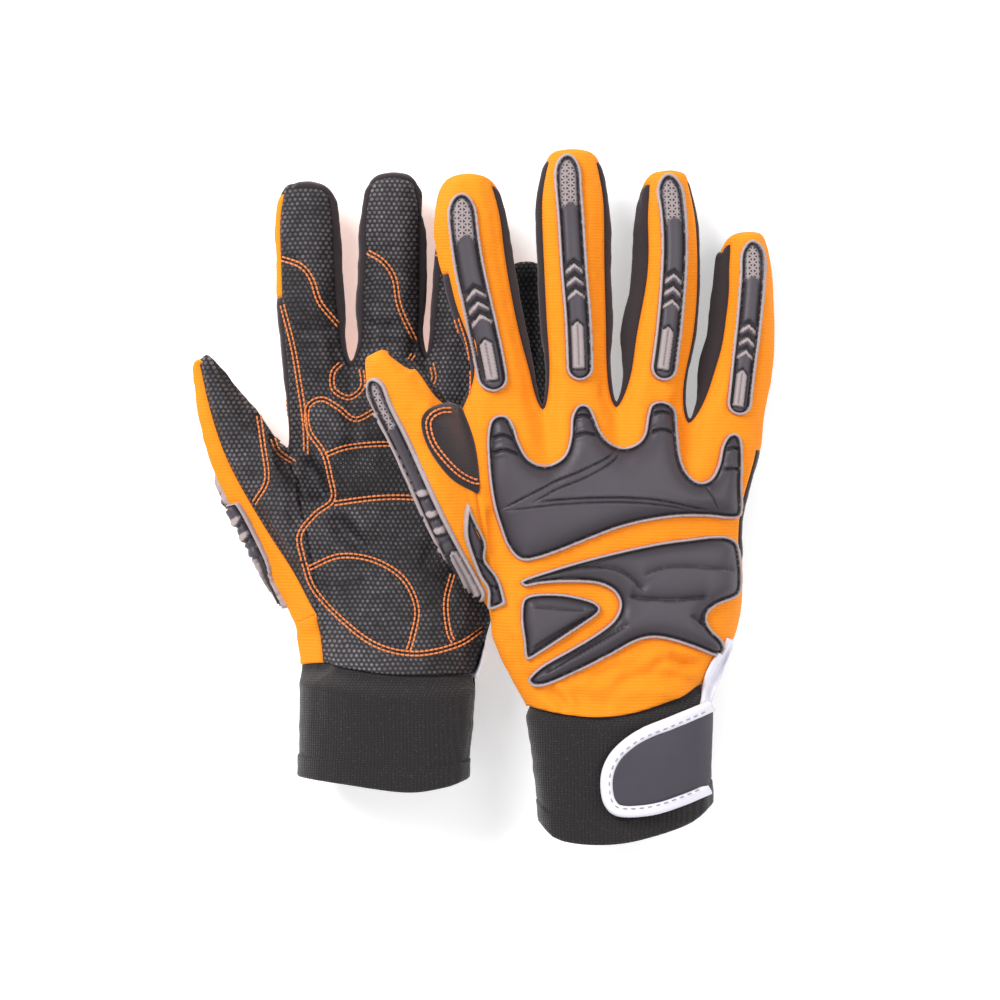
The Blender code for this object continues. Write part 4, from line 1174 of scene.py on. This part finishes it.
TAB_OUTER = {
    "right": [(79.5, -75), (66, -80), (54.5, -84.5), (46.5, -90.5), (42.5, -97), (41.5, -104), (43, -111),
        (48, -115), (60, -114.8), (72, -111.5), (80, -108.5)],
    "left": [(-11, -66.5), (-22, -67), (-34, -67.5), (-41, -69.5), (-45.5, -75), (-47, -83), (-45.5, -91),
        (-41, -98), (-34, -100.5), (-22, -101), (-11, -101.5)],
}
TAB_LIFT = 2.6
SLIT = {
    "right": ([(89.3, -52.5), (87.3, -58), (84, -64.5), (81.5, -71), (80, -77)],
        [(84.8, -57.5), (82.5, -62), (80.5, -67.5), (79.6, -76)]),
    "left": ([(-0.8, -51), (-1.4, -56), (-2.6, -61), (-4.2, -66)], [(-3.2, -53), (-4.4, -58), (-5.8, -62),
        (-7, -66)]),
}


def cuff_rows(cage, grow, rows, sides):
    """Points of the cuff as a ring, from inside the hand's edge to the wrist opening."""
    plan = cage.plan
    seam_left, seam_right = np.array(plan["cuff_top"], float)
    end = smooth_line(plan["cuff_end"], 21)
    half = plan["hand_half"][0] + 0.8
    turn = np.linspace(0.05, 2 * math.pi - 0.05, sides + 1)
    points = np.zeros((len(rows), sides + 1, 3))
    for q, t in enumerate(rows):
        tuck = 1 - steps(-0.06, 0.09, t)
        for i, angle in enumerate(turn):
            f = 0.5 + 0.5 * math.copysign(abs(math.cos(angle)) ** 0.8, math.cos(angle))
            bow = plan["seam_bow"] * math.sin(math.pi * f)
            top = seam_left + (seam_right - seam_left) * f + np.array([(f - 0.5) * 3.0, bow - 1.2])
            low = np.array([np.interp(f, np.linspace(0, 1, 21), end[:, a]) for a in range(2)])
            xy = top + (low - top) * t
            centre = cage.middle_height(xy[0]) if cage.side == "right" else FLOOR_SKIN + half + 2.2
            rise = math.copysign(abs(math.sin(angle)) ** 0.8, math.sin(angle))
            if cage.side == "left" and rise < 0:
                rise = -min(1.0, -1.25 * rise)
            out = np.array([math.cos(angle), 0, rise])
            reach = grow - 2.2 * tuck
            points[q, i] = [xy[0] + out[0] * reach, xy[1], centre + (half + reach) * rise]
    return points


def meet_skin(glove, points, t, tuck):
    """Draws the left cuff's first rows onto the hand's open edge, so that no gap shows between the two."""
    _, quads, _, _, co = glove.levels[VISIBLE_LEVEL]
    ring = open_edges(quads)
    reach = np.array([0, 40.0, 0])
    corners = [Vector(p) for a, b in ring for p in (co[a] - reach, co[b] - reach, co[b] + reach,
        co[a] + reach)]
    sleeve = BVHTree.FromPolygons(corners, [(k, k + 1, k + 2, k + 3) for k in range(0, len(corners), 4)])
    centre = co[[a for a, _ in ring]].mean(0)
    share = 1 - steps(0.01, 0.2, t)
    for i in np.where(share > 0)[0]:
        hit = np.array(sleeve.find_nearest(Vector(points[i]))[0])
        inward = (centre - hit) * (1, 0, 1)
        target = hit + inward / np.linalg.norm(inward) * (tuck + 2.2 * (1 - steps(-0.05, 0.02, t[i])))
        points[i, ::2] += ((target - points[i]) * share[i])[::2]


def grid_shell(rows, columns):
    """Faces of the body between two grids of points, the outer grid first."""
    count = rows * columns
    faces = []
    for q in range(rows - 1):
        for a in range(q * columns, q * columns + columns - 1):
            one = (a, a + 1, a + columns + 1, a + columns)
            faces += [one, tuple(i + count for i in (one[0], one[3], one[2], one[1]))]
    border = list(range(columns)) + [q * columns + columns - 1 for q in range(1, rows)]
    border += [(rows - 1) * columns + i for i in range(columns - 2, -1, -1)]
    border += [q * columns for q in range(rows - 2, 0, -1)]
    return faces + [(b, a, a + count, b + count) for a, b in zip(border, border[1:] + border[:1])]


def facing(points, faces, outward):
    """The faces, all turned over if the first one looks away from the given direction."""
    a, b, c = (points[faces[0][k]] for k in range(3))
    return [f[::-1] for f in faces] if np.cross(b - a, c - b) @ np.array(outward) < 0 else faces


def build_cuff(glove):
    cage, sides = glove.cage, 150
    rows = np.r_[np.linspace(-0.05 if cage.side == "left" else -0.12, 0.94, 74), 0.965, 0.985, 1.0]
    outer = cuff_rows(cage, 0.0, rows, sides)
    inner = cuff_rows(cage, -1.6, rows, sides)
    shape = outer.shape
    normal = outer - inner
    normal /= np.maximum(np.linalg.norm(normal, axis=2), 1e-9)[:, :, None]
    flat = outer.reshape(-1, 3)
    offset = Vector((12.0, 3.0, 7.0 if cage.side == "left" else 31.0))
    wave = np.array([noise.fractal(Vector((p[0] * 0.05, p[1] * 0.018, p[2] * 0.05)) + offset, 0.9, 2.1, 3)
        for p in flat])
    ripple = np.array([noise.noise(Vector((p[0] * 0.03, p[1] * 0.22, p[2] * 0.03)) + offset) for p in flat])
    t = np.repeat(rows, shape[1])
    free = steps(0.0, 0.15, t)
    move = free * (0.75 * wave + 0.35 * ripple)
    move += 0.45 * steps(0.80, 0.815, t) * (1 - steps(0.985, 1.0, t))  # turned hem
    move -= 0.3 * hump(t - 0.80, 0.006)
    moved = flat + normal.reshape(-1, 3) * move[:, None]
    inside = inner.reshape(-1, 3) + normal.reshape(-1, 3) * move[:, None] * 0.7
    if cage.side == "left":
        meet_skin(glove, moved, t, 0.5)
        meet_skin(glove, inside, t, 2.0)
    points = np.vstack([moved, inside])
    faces = facing(points, grid_shell(*shape[:2]), normal[0, 0])
    add_mesh(f"{cage.side}_cuff_band_cloth", points, faces, glove.body, "cuff_elastic",
        [f"{cage.side}_cuff_band"])
    smooth = cuff_rows(cage, 0.0, np.linspace(0.0, 1.0, 30), 90)
    grid = smooth.reshape(-1, 3)
    wide = smooth.shape[1]
    quads = np.array([(q * wide + i, q * wide + i + 1, (q + 1) * wide + i + 1, (q + 1) * wide + i)
        for q in range(29) for i in range(wide - 1)])
    total = np.zeros_like(grid)
    for k in range(4):
        p, q, r = grid[quads[:, k]], grid[quads[:, (k + 1) % 4]], grid[quads[:, (k + 3) % 4]]
        np.add.at(total, quads[:, k], np.cross(q - p, r - p))
    normals = total / np.maximum(np.linalg.norm(total, axis=1), 1e-9)[:, None]
    return Surface(grid, quads, normals)


def ribbon(name, side, body, slot, left, right, base, above, profile, lift, across=11, replaces=(),
        wander=0.0, cap=0.4, evened=0):
    """A tape between two plan lines, with a rounded section."""
    count = len(left)
    u = np.linspace(0, 1, across)
    outer, inner = [], []
    plan = np.array([left[k] + (right[k] - left[k]) * u[:, None] for k in range(count)])
    laid_on = [base.lay(xy, above) for xy in plan]
    hits, normals = np.array([one[0] for one in laid_on]), np.array([one[1] for one in laid_on])
    for _ in range(evened):
        for values in (hits, normals):
            values[1:-1] = 0.25 * values[:-2] + 0.5 * values[1:-1] + 0.25 * values[2:]
            values[:, 1:-1] = 0.25 * values[:, :-2] + 0.5 * values[:, 1:-1] + 0.25 * values[:, 2:]
    if evened:
        hits[:, :, :2] = plan
        normals = unit(normals)
    for xy, hit, normal in zip(plan, hits, normals):
        extra = wander * np.array([noise.noise(Vector((p[0] * 0.22, p[1] * 0.22, 4.0))) for p in xy])
        outer.append(hit + normal * (lift + profile(u) + extra)[:, None])
        inner.append(hit + normal * (lift - cap + 0 * u)[:, None])
    outer, inner = np.array(outer).reshape(-1, 3), np.array(inner).reshape(-1, 3)
    points = np.vstack([outer, inner])
    faces = facing(points, grid_shell(count, across), (0, 0, 1 if above else -1))
    return add_mesh(f"{side}_{name}_tape", points, faces, body, slot, replaces)


def rounded(u):
    """The height of a tape's section, across it."""
    return np.sqrt(np.clip(1 - (2 * u - 1) ** 4, 0, 1))


def flat_relief(height, edge=0.8, bow=0.0):
    def relief(xy, d):
        return height * np.sqrt(steps(-0.02, edge, d)) + bow * (1 - np.exp(-d / 4)), {}

    return relief


def build_wrist(glove, wrist):
    side, above = glove.side, glove.above
    tab_body = f"{side}_tab"
    outer = spaced(TAB_OUTER[side], 0.9)
    inward = left_of(outer)
    inner = outer + inward * BINDING
    ribbon("tab_binding", side, tab_body, "white_binding", outer, inner, wrist, above,
           lambda u: 2.1 * rounded(u), TAB_LIFT, 13, [f"{side}_tab_binding"], 0.35)
    middle = outer + inward * (BINDING - 1.2)
    points, faces = dashes([middle], lifted(wrist, TAB_LIFT + 1.9), above, 3.0, 1.9, 0.2, 0.3)
    add_mesh(f"{side}_tab_binding_stitches", points, faces, tab_body, material=THREADS["grey"])
    face_outline = list(outer + inward * (BINDING - 0.8))
    root = [face_outline[0] + np.array([2.0, 0.4]), face_outline[-1] + np.array([2.6, 0.6])]
    outline = np.array([root[0]] + face_outline[::3] + [root[1]])
    laid("closure_tab", glove, outline, flat_relief(1.6, 0.9, 0.25), tab_body, "tab_rubber",
         lifted(wrist, TAB_LIFT), (0.3, 0.8, 1.5), 1.6, sink=0.3)
    patch = np.array([outer[k] + inward[k] * (BINDING + 2.0) for k in range(4, len(outer) - 4, 4)])
    laid("hook_patch", glove, patch, flat_relief(0.8, 0.4), tab_body, "hook_and_loop", lifted(wrist, 1.5),
        (0.5,), 2.2, sink=0.2)
    laid("loop_patch", glove, patch, flat_relief(0.7, 0.4), glove.body, "hook_and_loop",
        lifted(wrist, 0.35), (0.5,), 2.2, sink=0.3)
    first, second = SLIT[side]
    joined = Surface(*joined_surface(glove.base, wrist))
    for number, (line, wide) in enumerate(((first, 1.9), (second, 1.3))):
        run = spaced(line, 0.8)
        across = left_of(run)
        grow = 0.75 + 0.35 * steps(0, 0.5, np.linspace(0, 1, len(run)))
        lines = run + across * (wide * grow)[:, None], run - across * (wide * grow)[:, None]
        ribbon(f"slit_binding_{number + 1}", side, glove.body, "white_binding", lines[0], lines[1], joined,
            above, lambda u: 1.1 * rounded(u) - 0.3 * hump(u - 0.5, 0.12), 0.5 + 0.5 * number, 9,
            [f"{side}_slit_binding"] if number == 0 else (), 0.7, evened=10)


def joined_surface(one, other):
    count = len(one.points)
    faces = np.vstack([one.faces, other.faces + count])
    return np.vstack([one.points, other.points]), faces, np.vstack([one.normals, other.normals])


def lifted(surface, height):
    return Surface(surface.points + surface.normals * height, surface.faces, surface.normals)


# Everything on one glove

PADS = {
    "palm_pad_upper": [(-58, 32), (-48, 27), (-40, 28), (-32, 33), (-12, 24), (2, 18), (-8, -2), (-30, -2),
        (-52, -4), (-59, 14)],
    "palm_pad_thumb": [(-61, -23), (-52, -21), (-40, -26), (-29, -36), (-26, -46), (-36, -52), (-50, -46),
        (-58, -36)],
    "palm_pad_heel": [(-10, -28), (-2, -28), (1, -38), (-4, -50), (-12, -52), (-14, -40)],
}

# The left glove's thumb is turned, so that the guards along it show at the outer edge of the palm side.
RAILS = {
    "thumb_guard": [(-96, 40, 8), (-97, 27, 7), (-97.5, 14, 7.5), (-95.5, 4, 10.5), (-91, -6, 15.5),
        (-85.5, -17, 17), (-78.5, -29, 17), (-71.5, -42, 17)],
    "web_guard": [(-84, -8, 5), (-78, -20, 6), (-72, -32, 7), (-66.5, -44, 8)],
}
WEB_GUARD_LINE = [(-6.2, -4), (-3.2, -17), (1.5, -29), (5.5, -40)]


def build_guards(glove, right):
    outlines = {"knuckle_guard": (KNUCKLE, 3.9, 2.8), "metacarpal_guard": (METACARPAL, 3.9, 2.2),
                "triangle_guard": (TRIANGLE, 3.4, 1.8), "web_guard": (WEB_GUARD, 2.9, 1.3)}
    for name, (outline, top, slope) in outlines.items():
        placed = carry_line(outline, right, glove)
        creases = [(spaced(carry_line(line, right, glove), 0.8), depth, width) for line, depth,
            width in CREASES[name]]
        extra = [offset_line(line, part * width) for line, _, width in creases for part in (-1, -0.5, 0,
            0.5, 1)]
        shape = body_relief(name, top, slope)
        base = glove.base
        if name in RAILS and glove.side == "left":
            placed, base = outline, Rail(glove.base, WEB_GUARD_LINE, RAILS[name])
        laid(name, glove, placed, lambda xy, d: shape(xy, d, creases), glove.body, "guard_rubber", base,
            extra=extra)
    for name, (centre, half) in STRAPS.items():
        railed = name in RAILS and glove.side == "left"
        line = spaced(centre if railed else carry_line(spaced(centre, 4.0), right, glove), 1.0)
        base = Rail(glove.base, line, RAILS[name]) if railed else glove.base
        laid(name, glove, strap_outline(line, half), strap_relief(name, line, half), glove.body,
            "guard_rubber", base, spacing=0.5)


def build_stitches(glove, right, left):
    side, palm_up = glove.side, not glove.above
    rows = []
    for line in PALM_LINES.values():
        rows += double_row(carry_line(line, left, glove), 1.45)
    points, faces = dashes(rows, glove.skin, palm_up)
    add_mesh(f"{side}_palm_stitches", points, faces, glove.body, material=THREADS["orange"])
    rows = double_row(carry_line(SIDE_LINE, right, glove), 1.5)
    points, faces = dashes(rows, glove.skin, glove.above)
    add_mesh(f"{side}_side_stitches", points, faces, glove.body, material=THREADS["orange"])
    patch = carry_line(WEB_PATCH, right, glove)
    laid("web_patch", glove, patch, flat_relief(1.0, 0.5, 0.5), glove.body, "black_fabric", glove.base,
        (0.3, 0.8, 1.6, 2.6), 1.2)
    line = carry_line(WEB_LINE, right, glove)
    inner = [offset_line(line, by) for by in (1.0, 2.5)]
    points, faces = dashes(inner, lifted(glove.base, 1.25), glove.above)
    add_mesh(f"{side}_web_stitches", points, faces, glove.body, material=THREADS["orange"])


def build_pads(glove, left):
    for name, outline in PADS.items():
        placed = carry_line(outline, left, glove)
        inside = lifted(glove.base, -PAD_DEPTH)
        piece = laid(name, glove, placed, flat_relief(2.0, 1.2, 0.2), glove.body, "pad_foam", inside,
            (0.5, 1.2), 2.2, sink=0.3, above=not glove.above)


# Materials


class Shader:
    """A material's node tree, with short calls for the nodes."""

    def __init__(self, name):
        self.material = bpy.data.materials.new(name)
        self.material.use_nodes = True
        self.tree = self.material.node_tree
        self.surface = self.tree.nodes["Principled BSDF"]
        self.coords = self.tree.nodes.new("ShaderNodeTexCoord").outputs["Object"]

    def node(self, kind, inputs=None, **settings):
        made = self.tree.nodes.new(kind)
        for key, value in settings.items():
            setattr(made, key, value)
        for key, value in (inputs or {}).items():
            self.put(made.inputs[key], value)
        return made

    def put(self, socket, value):
        if isinstance(value, bpy.types.NodeSocket):
            self.tree.links.new(value, socket)
        else:
            socket.default_value = value

    def math(self, kind, *values, clamp=False):
        made = self.tree.nodes.new("ShaderNodeMath")
        made.operation, made.use_clamp = kind, clamp
        for k, value in enumerate(values):
            self.put(made.inputs[k], value)
        return made.outputs[0]

    def times(self, *values, **options):
        return self.math("MULTIPLY", *values, **options)

    def add(self, *values, **options):
        return self.math("ADD", *values, **options)

    def less(self, *values, **options):
        return self.math("SUBTRACT", *values, **options)

    def noise(self, scale, detail=3.0, rough=0.5, where=None, distort=0.0):
        made = self.node("ShaderNodeTexNoise", {"Scale": scale, "Detail": detail, "Roughness": rough,
            "Distortion": distort, "Vector": where or self.coords})
        return made.outputs["Fac"]

    def mix(self, share, a, b):
        made = self.tree.nodes.new("ShaderNodeMix")
        made.data_type = "RGBA"
        self.put(made.inputs[0], share)
        self.put(made.inputs[6], a if isinstance(a, bpy.types.NodeSocket) else (*a, 1))
        self.put(made.inputs[7], b if isinstance(b, bpy.types.NodeSocket) else (*b, 1))
        return made.outputs[2]

    def attribute(self, name):
        return self.node("ShaderNodeAttribute", attribute_name=name).outputs["Fac"]

    def bump(self, height, distance, strength=1.0, onto=None):
        inputs = {"Height": height, "Distance": distance, "Strength": strength}
        if onto is not None:
            inputs["Normal"] = onto
        return self.node("ShaderNodeBump", inputs).outputs["Normal"]

    def finish(self, **sockets):
        for key, value in sockets.items():
            self.put(self.surface.inputs[key.replace("_", " ")], value)
        return self.material


def axis_parts(shader):
    return shader.node("ShaderNodeSeparateXYZ", {"Vector": shader.coords}).outputs


def wave(shader, value, pitch):
    """A sine from 0 to 1 along a coordinate in metres."""
    sine = shader.math("SINE", shader.times(value, 2 * math.pi / pitch))
    return shader.math("MULTIPLY_ADD", sine, 0.5, 0.5)


def knit_material():
    s = Shader("knit")
    x, y, _ = axis_parts(s)
    drift = s.times(s.noise(55.0, 2.0), 0.0022)
    ribs = wave(s, s.add(y, drift), 0.00115)
    columns = wave(s, s.add(x, s.times(s.noise(80.0, 2.0), 0.0006)), 0.00082)
    fuzz = s.noise(2600.0, 3.0, 0.6)
    height = s.add(s.times(ribs, 0.7), s.times(columns, 0.3))
    height = s.add(height, s.times(fuzz, 0.35))
    patchy = s.noise(24.0, 4.0, 0.6)
    # Painted shade: the knit is darker and redder in the grooves between its ribs.
    colour = s.mix(s.times(s.less(1.0, ribs), 0.32), (0.94, 0.29, 0.008), (0.80, 0.18, 0.004))
    colour = s.mix(s.times(s.less(patchy, 0.45, clamp=True), 1.2, clamp=True), colour, (0.90, 0.235, 0.006))
    return s.finish(Base_Color=colour, Roughness=s.math("MULTIPLY_ADD", fuzz, 0.15, 0.68),
        Normal=s.bump(height, 0.00017, 0.7), Sheen_Weight=0.15, Sheen_Roughness=0.45,
        Sheen_Tint=(1.0, 0.62, 0.25, 1.0), Specular_IOR_Level=0.25)


def dot_field(s, x, y, pitch, radius):
    """Round dots on a hexagonal lattice, 1 at the middle of a dot."""
    row = pitch * math.sqrt(3)
    best = None
    for shift_x, shift_y in ((0.0, 0.0), (pitch / 2, row / 2)):
        u = s.times(s.less(s.math("FRACT", s.math("DIVIDE", s.add(x, 1 + shift_x), pitch)), 0.5), pitch)
        v = s.times(s.less(s.math("FRACT", s.math("DIVIDE", s.add(y, 1 + shift_y), row)), 0.5), row)
        far = s.math("SQRT", s.add(s.times(u, u), s.times(v, v)))
        dot = s.node("ShaderNodeMapRange", {"Value": far, "From Min": radius * 0.45, "From Max": radius,
            "To Min": 1.0, "To Max": 0.0}, interpolation_type="SMOOTHSTEP").outputs[0]
        best = dot if best is None else s.math("MAXIMUM", best, dot)
    return best


def leather_material():
    s = Shader("leather")
    x, y, _ = axis_parts(s)
    bend = s.times(s.less(s.noise(60.0, 3.0), 0.5), 0.0022)
    dots = dot_field(s, s.add(x, bend), s.add(y, bend), 0.00185, 0.0008)
    grain = s.noise(1500.0, 4.0, 0.6)
    # Lighter and darker patches at random, in the base and in how strongly the dots show.
    blotches = s.node("ShaderNodeMapRange", {"Value": s.noise(26.0, 4.0, 0.62), "From Min": 0.36,
        "From Max": 0.66}).outputs[0]
    uneven = s.noise(420.0, 2.0, 0.6)
    colour = s.mix(blotches, (0.0065, 0.005, 0.0062), (0.023, 0.019, 0.023))
    strength = s.times(s.math("MULTIPLY_ADD", blotches, 0.8, 0.06), s.math("MULTIPLY_ADD", uneven, 1.9, -0.2))
    shown = s.times(dots, strength)
    colour = s.mix(shown, colour, (0.19, 0.178, 0.19))
    height = s.add(dots, s.times(grain, 0.35))
    rough = s.less(s.math("MULTIPLY_ADD", grain, 0.2, 0.56), s.times(dots, 0.25))
    return s.finish(Base_Color=colour, Roughness=rough, Normal=s.bump(height, 0.00032, 0.9),
        Specular_IOR_Level=0.3)


def fabric_material():
    s = Shader("fabric")
    x, y, z = axis_parts(s)
    slant = s.add(s.add(x, z), y)
    twill = wave(s, slant, 0.0009)
    cross = wave(s, s.less(y, z), 0.0011)
    fuzz = s.noise(1900.0, 4.0, 0.65)
    tone = s.noise(45.0, 3.0, 0.6)
    height = s.add(s.times(s.times(twill, cross), 0.8), s.times(fuzz, 0.6))
    colour = s.mix(tone, (0.0125, 0.009, 0.0098), (0.030, 0.0215, 0.0235))
    colour = s.mix(s.times(fuzz, 0.3), colour, (0.056, 0.043, 0.046))
    return s.finish(Base_Color=colour, Roughness=0.85, Normal=s.bump(height, 0.00016, 0.6),
        Sheen_Weight=0.35, Sheen_Roughness=0.5, Sheen_Tint=(0.8, 0.7, 0.75, 1.0), Specular_IOR_Level=0.25)


def rubber_material():
    s = Shader("rubber")
    grey, inset, crease, crown, tint = (s.attribute(name) for name in ("grey", "mesh_inset", "crease",
        "crown", "tint"))
    x, y, _ = axis_parts(s)
    lines = None
    for angle in (0.0, 60.0, 120.0):
        turned = s.add(s.times(x, math.cos(math.radians(angle))), s.times(y, math.sin(math.radians(angle))))
        cell = s.math("FRACT", s.math("DIVIDE", s.add(turned, 1.0), 0.00185))
        off = s.math("ABSOLUTE", s.less(cell, 0.5))
        line = s.math("LESS_THAN", off, 0.17)
        lines = line if lines is None else s.math("MAXIMUM", lines, line)
    fine = s.noise(900.0, 4.0, 0.6)
    cloud = s.noise(60.0, 3.0, 0.5)
    dark = s.mix(cloud, (0.026, 0.020, 0.026), (0.044, 0.036, 0.046))
    # Painted highlight: the dark rubber is lighter on the guards' tops and ridges.
    dark = s.mix(s.times(crown, 0.5), dark, (0.10, 0.084, 0.104))
    # Painted shade: the rubber goes near black in the creases, grooves and recesses.
    dark = s.mix(s.times(crease, 0.9), dark, (0.004, 0.003, 0.004))
    light = s.mix(fine, (0.33, 0.268, 0.272), (0.48, 0.395, 0.395))
    webbed = s.times(inset, lines)
    colour = s.mix(s.math("MAXIMUM", grey, s.times(webbed, 0.8), clamp=True), dark, light)
    # Painted shade: a red-orange band at the guards' edges, as contact shadow and light bounced off the knit.
    colour = s.mix(s.times(tint, 0.85), colour, (0.50, 0.085, 0.010))
    height = s.add(s.times(fine, 0.25), webbed)
    return s.finish(Base_Color=colour, Roughness=s.math("MULTIPLY_ADD", fine, 0.16, 0.40),
        Normal=s.bump(height, 0.00012, 0.5), Specular_IOR_Level=0.4)


def elastic_material():
    s = Shader("elastic")
    x, y, z = axis_parts(s)
    around = s.add(x, s.times(z, 0.7))
    cords = wave(s, around, 0.00125)
    weft = wave(s, s.add(y, s.times(cords, 0.0003)), 0.0009)
    fuzz = s.noise(2400.0, 3.0, 0.6)
    speck = s.node("ShaderNodeTexVoronoi", {"Scale": 900.0, "Vector": s.coords}).outputs["Distance"]
    fleck = s.math("LESS_THAN", speck, 0.16)
    height = s.add(s.times(cords, weft), s.times(fuzz, 0.5))
    # Painted light and shade on the weave: lighter where its bump rises, darker in its hollows.
    colour = s.mix(s.times(height, 0.6), (0.0092, 0.0078, 0.0085), (0.033, 0.0275, 0.0305))
    colour = s.mix(s.times(fleck, 0.4), colour, (0.12, 0.112, 0.118))
    return s.finish(Base_Color=colour, Roughness=0.85, Normal=s.bump(height, 0.00025, 0.8),
        Sheen_Weight=0.25, Sheen_Roughness=0.5, Specular_IOR_Level=0.25)


def tab_material():
    s = Shader("tab")
    fine = s.noise(1200.0, 4.0, 0.6)
    cloud = s.noise(50.0, 3.0, 0.6)
    colour = s.mix(cloud, (0.038, 0.032, 0.046), (0.060, 0.053, 0.072))
    return s.finish(Base_Color=colour, Roughness=s.math("MULTIPLY_ADD", fine, 0.2, 0.45),
        Normal=s.bump(fine, 0.00008, 0.6), Specular_IOR_Level=0.45)


def tape_material():
    s = Shader("tape")
    x, y, _ = axis_parts(s)
    one = wave(s, s.add(x, y), 0.0007)
    two = wave(s, s.less(y, x), 0.0007)
    fuzz = s.noise(1800.0, 3.0, 0.6)
    tone = s.noise(70.0, 3.0, 0.6)
    height = s.add(s.times(one, two), s.times(fuzz, 0.4))
    colour = s.mix(tone, (0.72, 0.70, 0.80), (0.90, 0.885, 0.95))
    return s.finish(Base_Color=colour, Roughness=0.8, Normal=s.bump(height, 0.00012, 0.6), Sheen_Weight=0.2,
        Specular_IOR_Level=0.3)


def hook_material():
    s = Shader("hooks")
    cells = s.node("ShaderNodeTexVoronoi", {"Scale": 1100.0, "Vector": s.coords}).outputs["Distance"]
    fuzz = s.noise(2500.0, 3.0, 0.7)
    height = s.add(cells, fuzz)
    colour = s.mix(fuzz, (0.012, 0.012, 0.013), (0.05, 0.05, 0.052))
    return s.finish(Base_Color=colour, Roughness=0.9, Normal=s.bump(height, 0.0004, 1.0),
        Specular_IOR_Level=0.2)


def foam_material():
    s = Shader("foam")
    cells = s.node("ShaderNodeTexVoronoi", {"Scale": 900.0, "Vector": s.coords}).outputs["Distance"]
    colour = s.mix(cells, (0.25, 0.24, 0.23), (0.42, 0.41, 0.39))
    return s.finish(Base_Color=colour, Roughness=0.9, Normal=s.bump(cells, 0.0003, 0.7))


def thread_material(name, dark, light):
    s = Shader(name)
    twist = s.noise(1500.0, 3.0, 0.6)
    tone = s.noise(220.0, 2.0, 0.6)
    colour = s.mix(tone, dark, light)
    return s.finish(Base_Color=colour, Roughness=0.55, Normal=s.bump(twist, 0.0001, 0.8), Sheen_Weight=0.2,
        Specular_IOR_Level=0.4)


def plain_material(name, colour, roughness):
    s = Shader(name)
    tone = s.noise(3.0, 2.0, 0.5)
    return s.finish(Base_Color=s.mix(tone, tuple(c * 0.985 for c in colour), colour), Roughness=roughness,
        Specular_IOR_Level=0.1, Emission_Color=(1.0, 1.0, 1.0, 1.0), Emission_Strength=0.4)


MATERIALS = {
    "orange_knit": knit_material(),
    "dotted_leather": leather_material(),
    "black_fabric": fabric_material(),
    "guard_rubber": rubber_material(),
    "cuff_elastic": elastic_material(),
    "tab_rubber": tab_material(),
    "white_binding": tape_material(),
    "hook_and_loop": hook_material(),
    "pad_foam": foam_material(),
}
THREADS = {
    "orange": thread_material("orange_thread", (0.66, 0.15, 0.025), (0.86, 0.30, 0.085)),
    "grey": thread_material("grey_thread", (0.22, 0.21, 0.26), (0.38, 0.37, 0.42)),
}


# The camera looks straight down, and takes in this width at this height above the table.
VIEW_WIDTH, VIEW_LEVEL, CAMERA_HEIGHT = 0.3634, 0.025, 1.3
VIEW_CENTRE = (0.006, -0.0022)


def build_stage():
    """The pale floor, the lights and the camera straight above."""
    mesh = bpy.data.meshes.new("floor")
    mesh.from_pydata([(-3, -3, 0), (3, -3, 0), (3, 3, 0), (-3, 3, 0)], [], [(0, 1, 2, 3)])
    floor = bpy.data.objects.new("floor", mesh)
    bpy.context.scene.collection.objects.link(floor)
    floor.data.materials.append(plain_material("floor_paint", (0.93, 0.93, 0.93), 0.9))
    world = bpy.data.worlds.new("studio")
    world.use_nodes = True
    world.node_tree.nodes["Background"].inputs["Color"].default_value = (1.0, 1.0, 1.0, 1.0)
    world.node_tree.nodes["Background"].inputs["Strength"].default_value = 0.48
    bpy.context.scene.world = world
    lamps = (
        ("key", (-0.6, 0.6, 0.85), 0.6, 14.0),
        ("fill", (0.7, 0.15, 0.8), 0.8, 4.0),
        ("low", (0.0, -0.9, 0.6), 0.7, 2.5),
    )
    for name, place, size, watts in lamps:
        data = bpy.data.lights.new(name, "AREA")
        data.shape, data.size, data.energy = "SQUARE", size, watts
        lamp = bpy.data.objects.new(name, data)
        lamp.location = place
        lamp.rotation_euler = (Vector((0, 0, 0.02)) - Vector(place)).to_track_quat("-Z", "Y").to_euler()
        bpy.context.scene.collection.objects.link(lamp)
    data = bpy.data.cameras.new("camera")
    data.sensor_fit = "HORIZONTAL"
    data.angle = 2 * math.atan(VIEW_WIDTH / 2 / (CAMERA_HEIGHT - VIEW_LEVEL))
    camera = bpy.data.objects.new("camera", data)
    camera.location = (VIEW_CENTRE[0], VIEW_CENTRE[1], CAMERA_HEIGHT)
    bpy.context.scene.collection.objects.link(camera)
    bpy.context.scene.camera = camera
    bpy.context.scene.view_settings.view_transform = "Standard"


def main():
    right, left = Glove("right", RIGHT), Glove("left", LEFT)
    for glove in (left, right):
        glove.add_relief(left)
        glove.build_panels()
        wrist = build_cuff(glove)
        build_wrist(glove, wrist)
        build_guards(glove, right)
        build_stitches(glove, right, left)
        build_pads(glove, left)
    build_stage()


main()
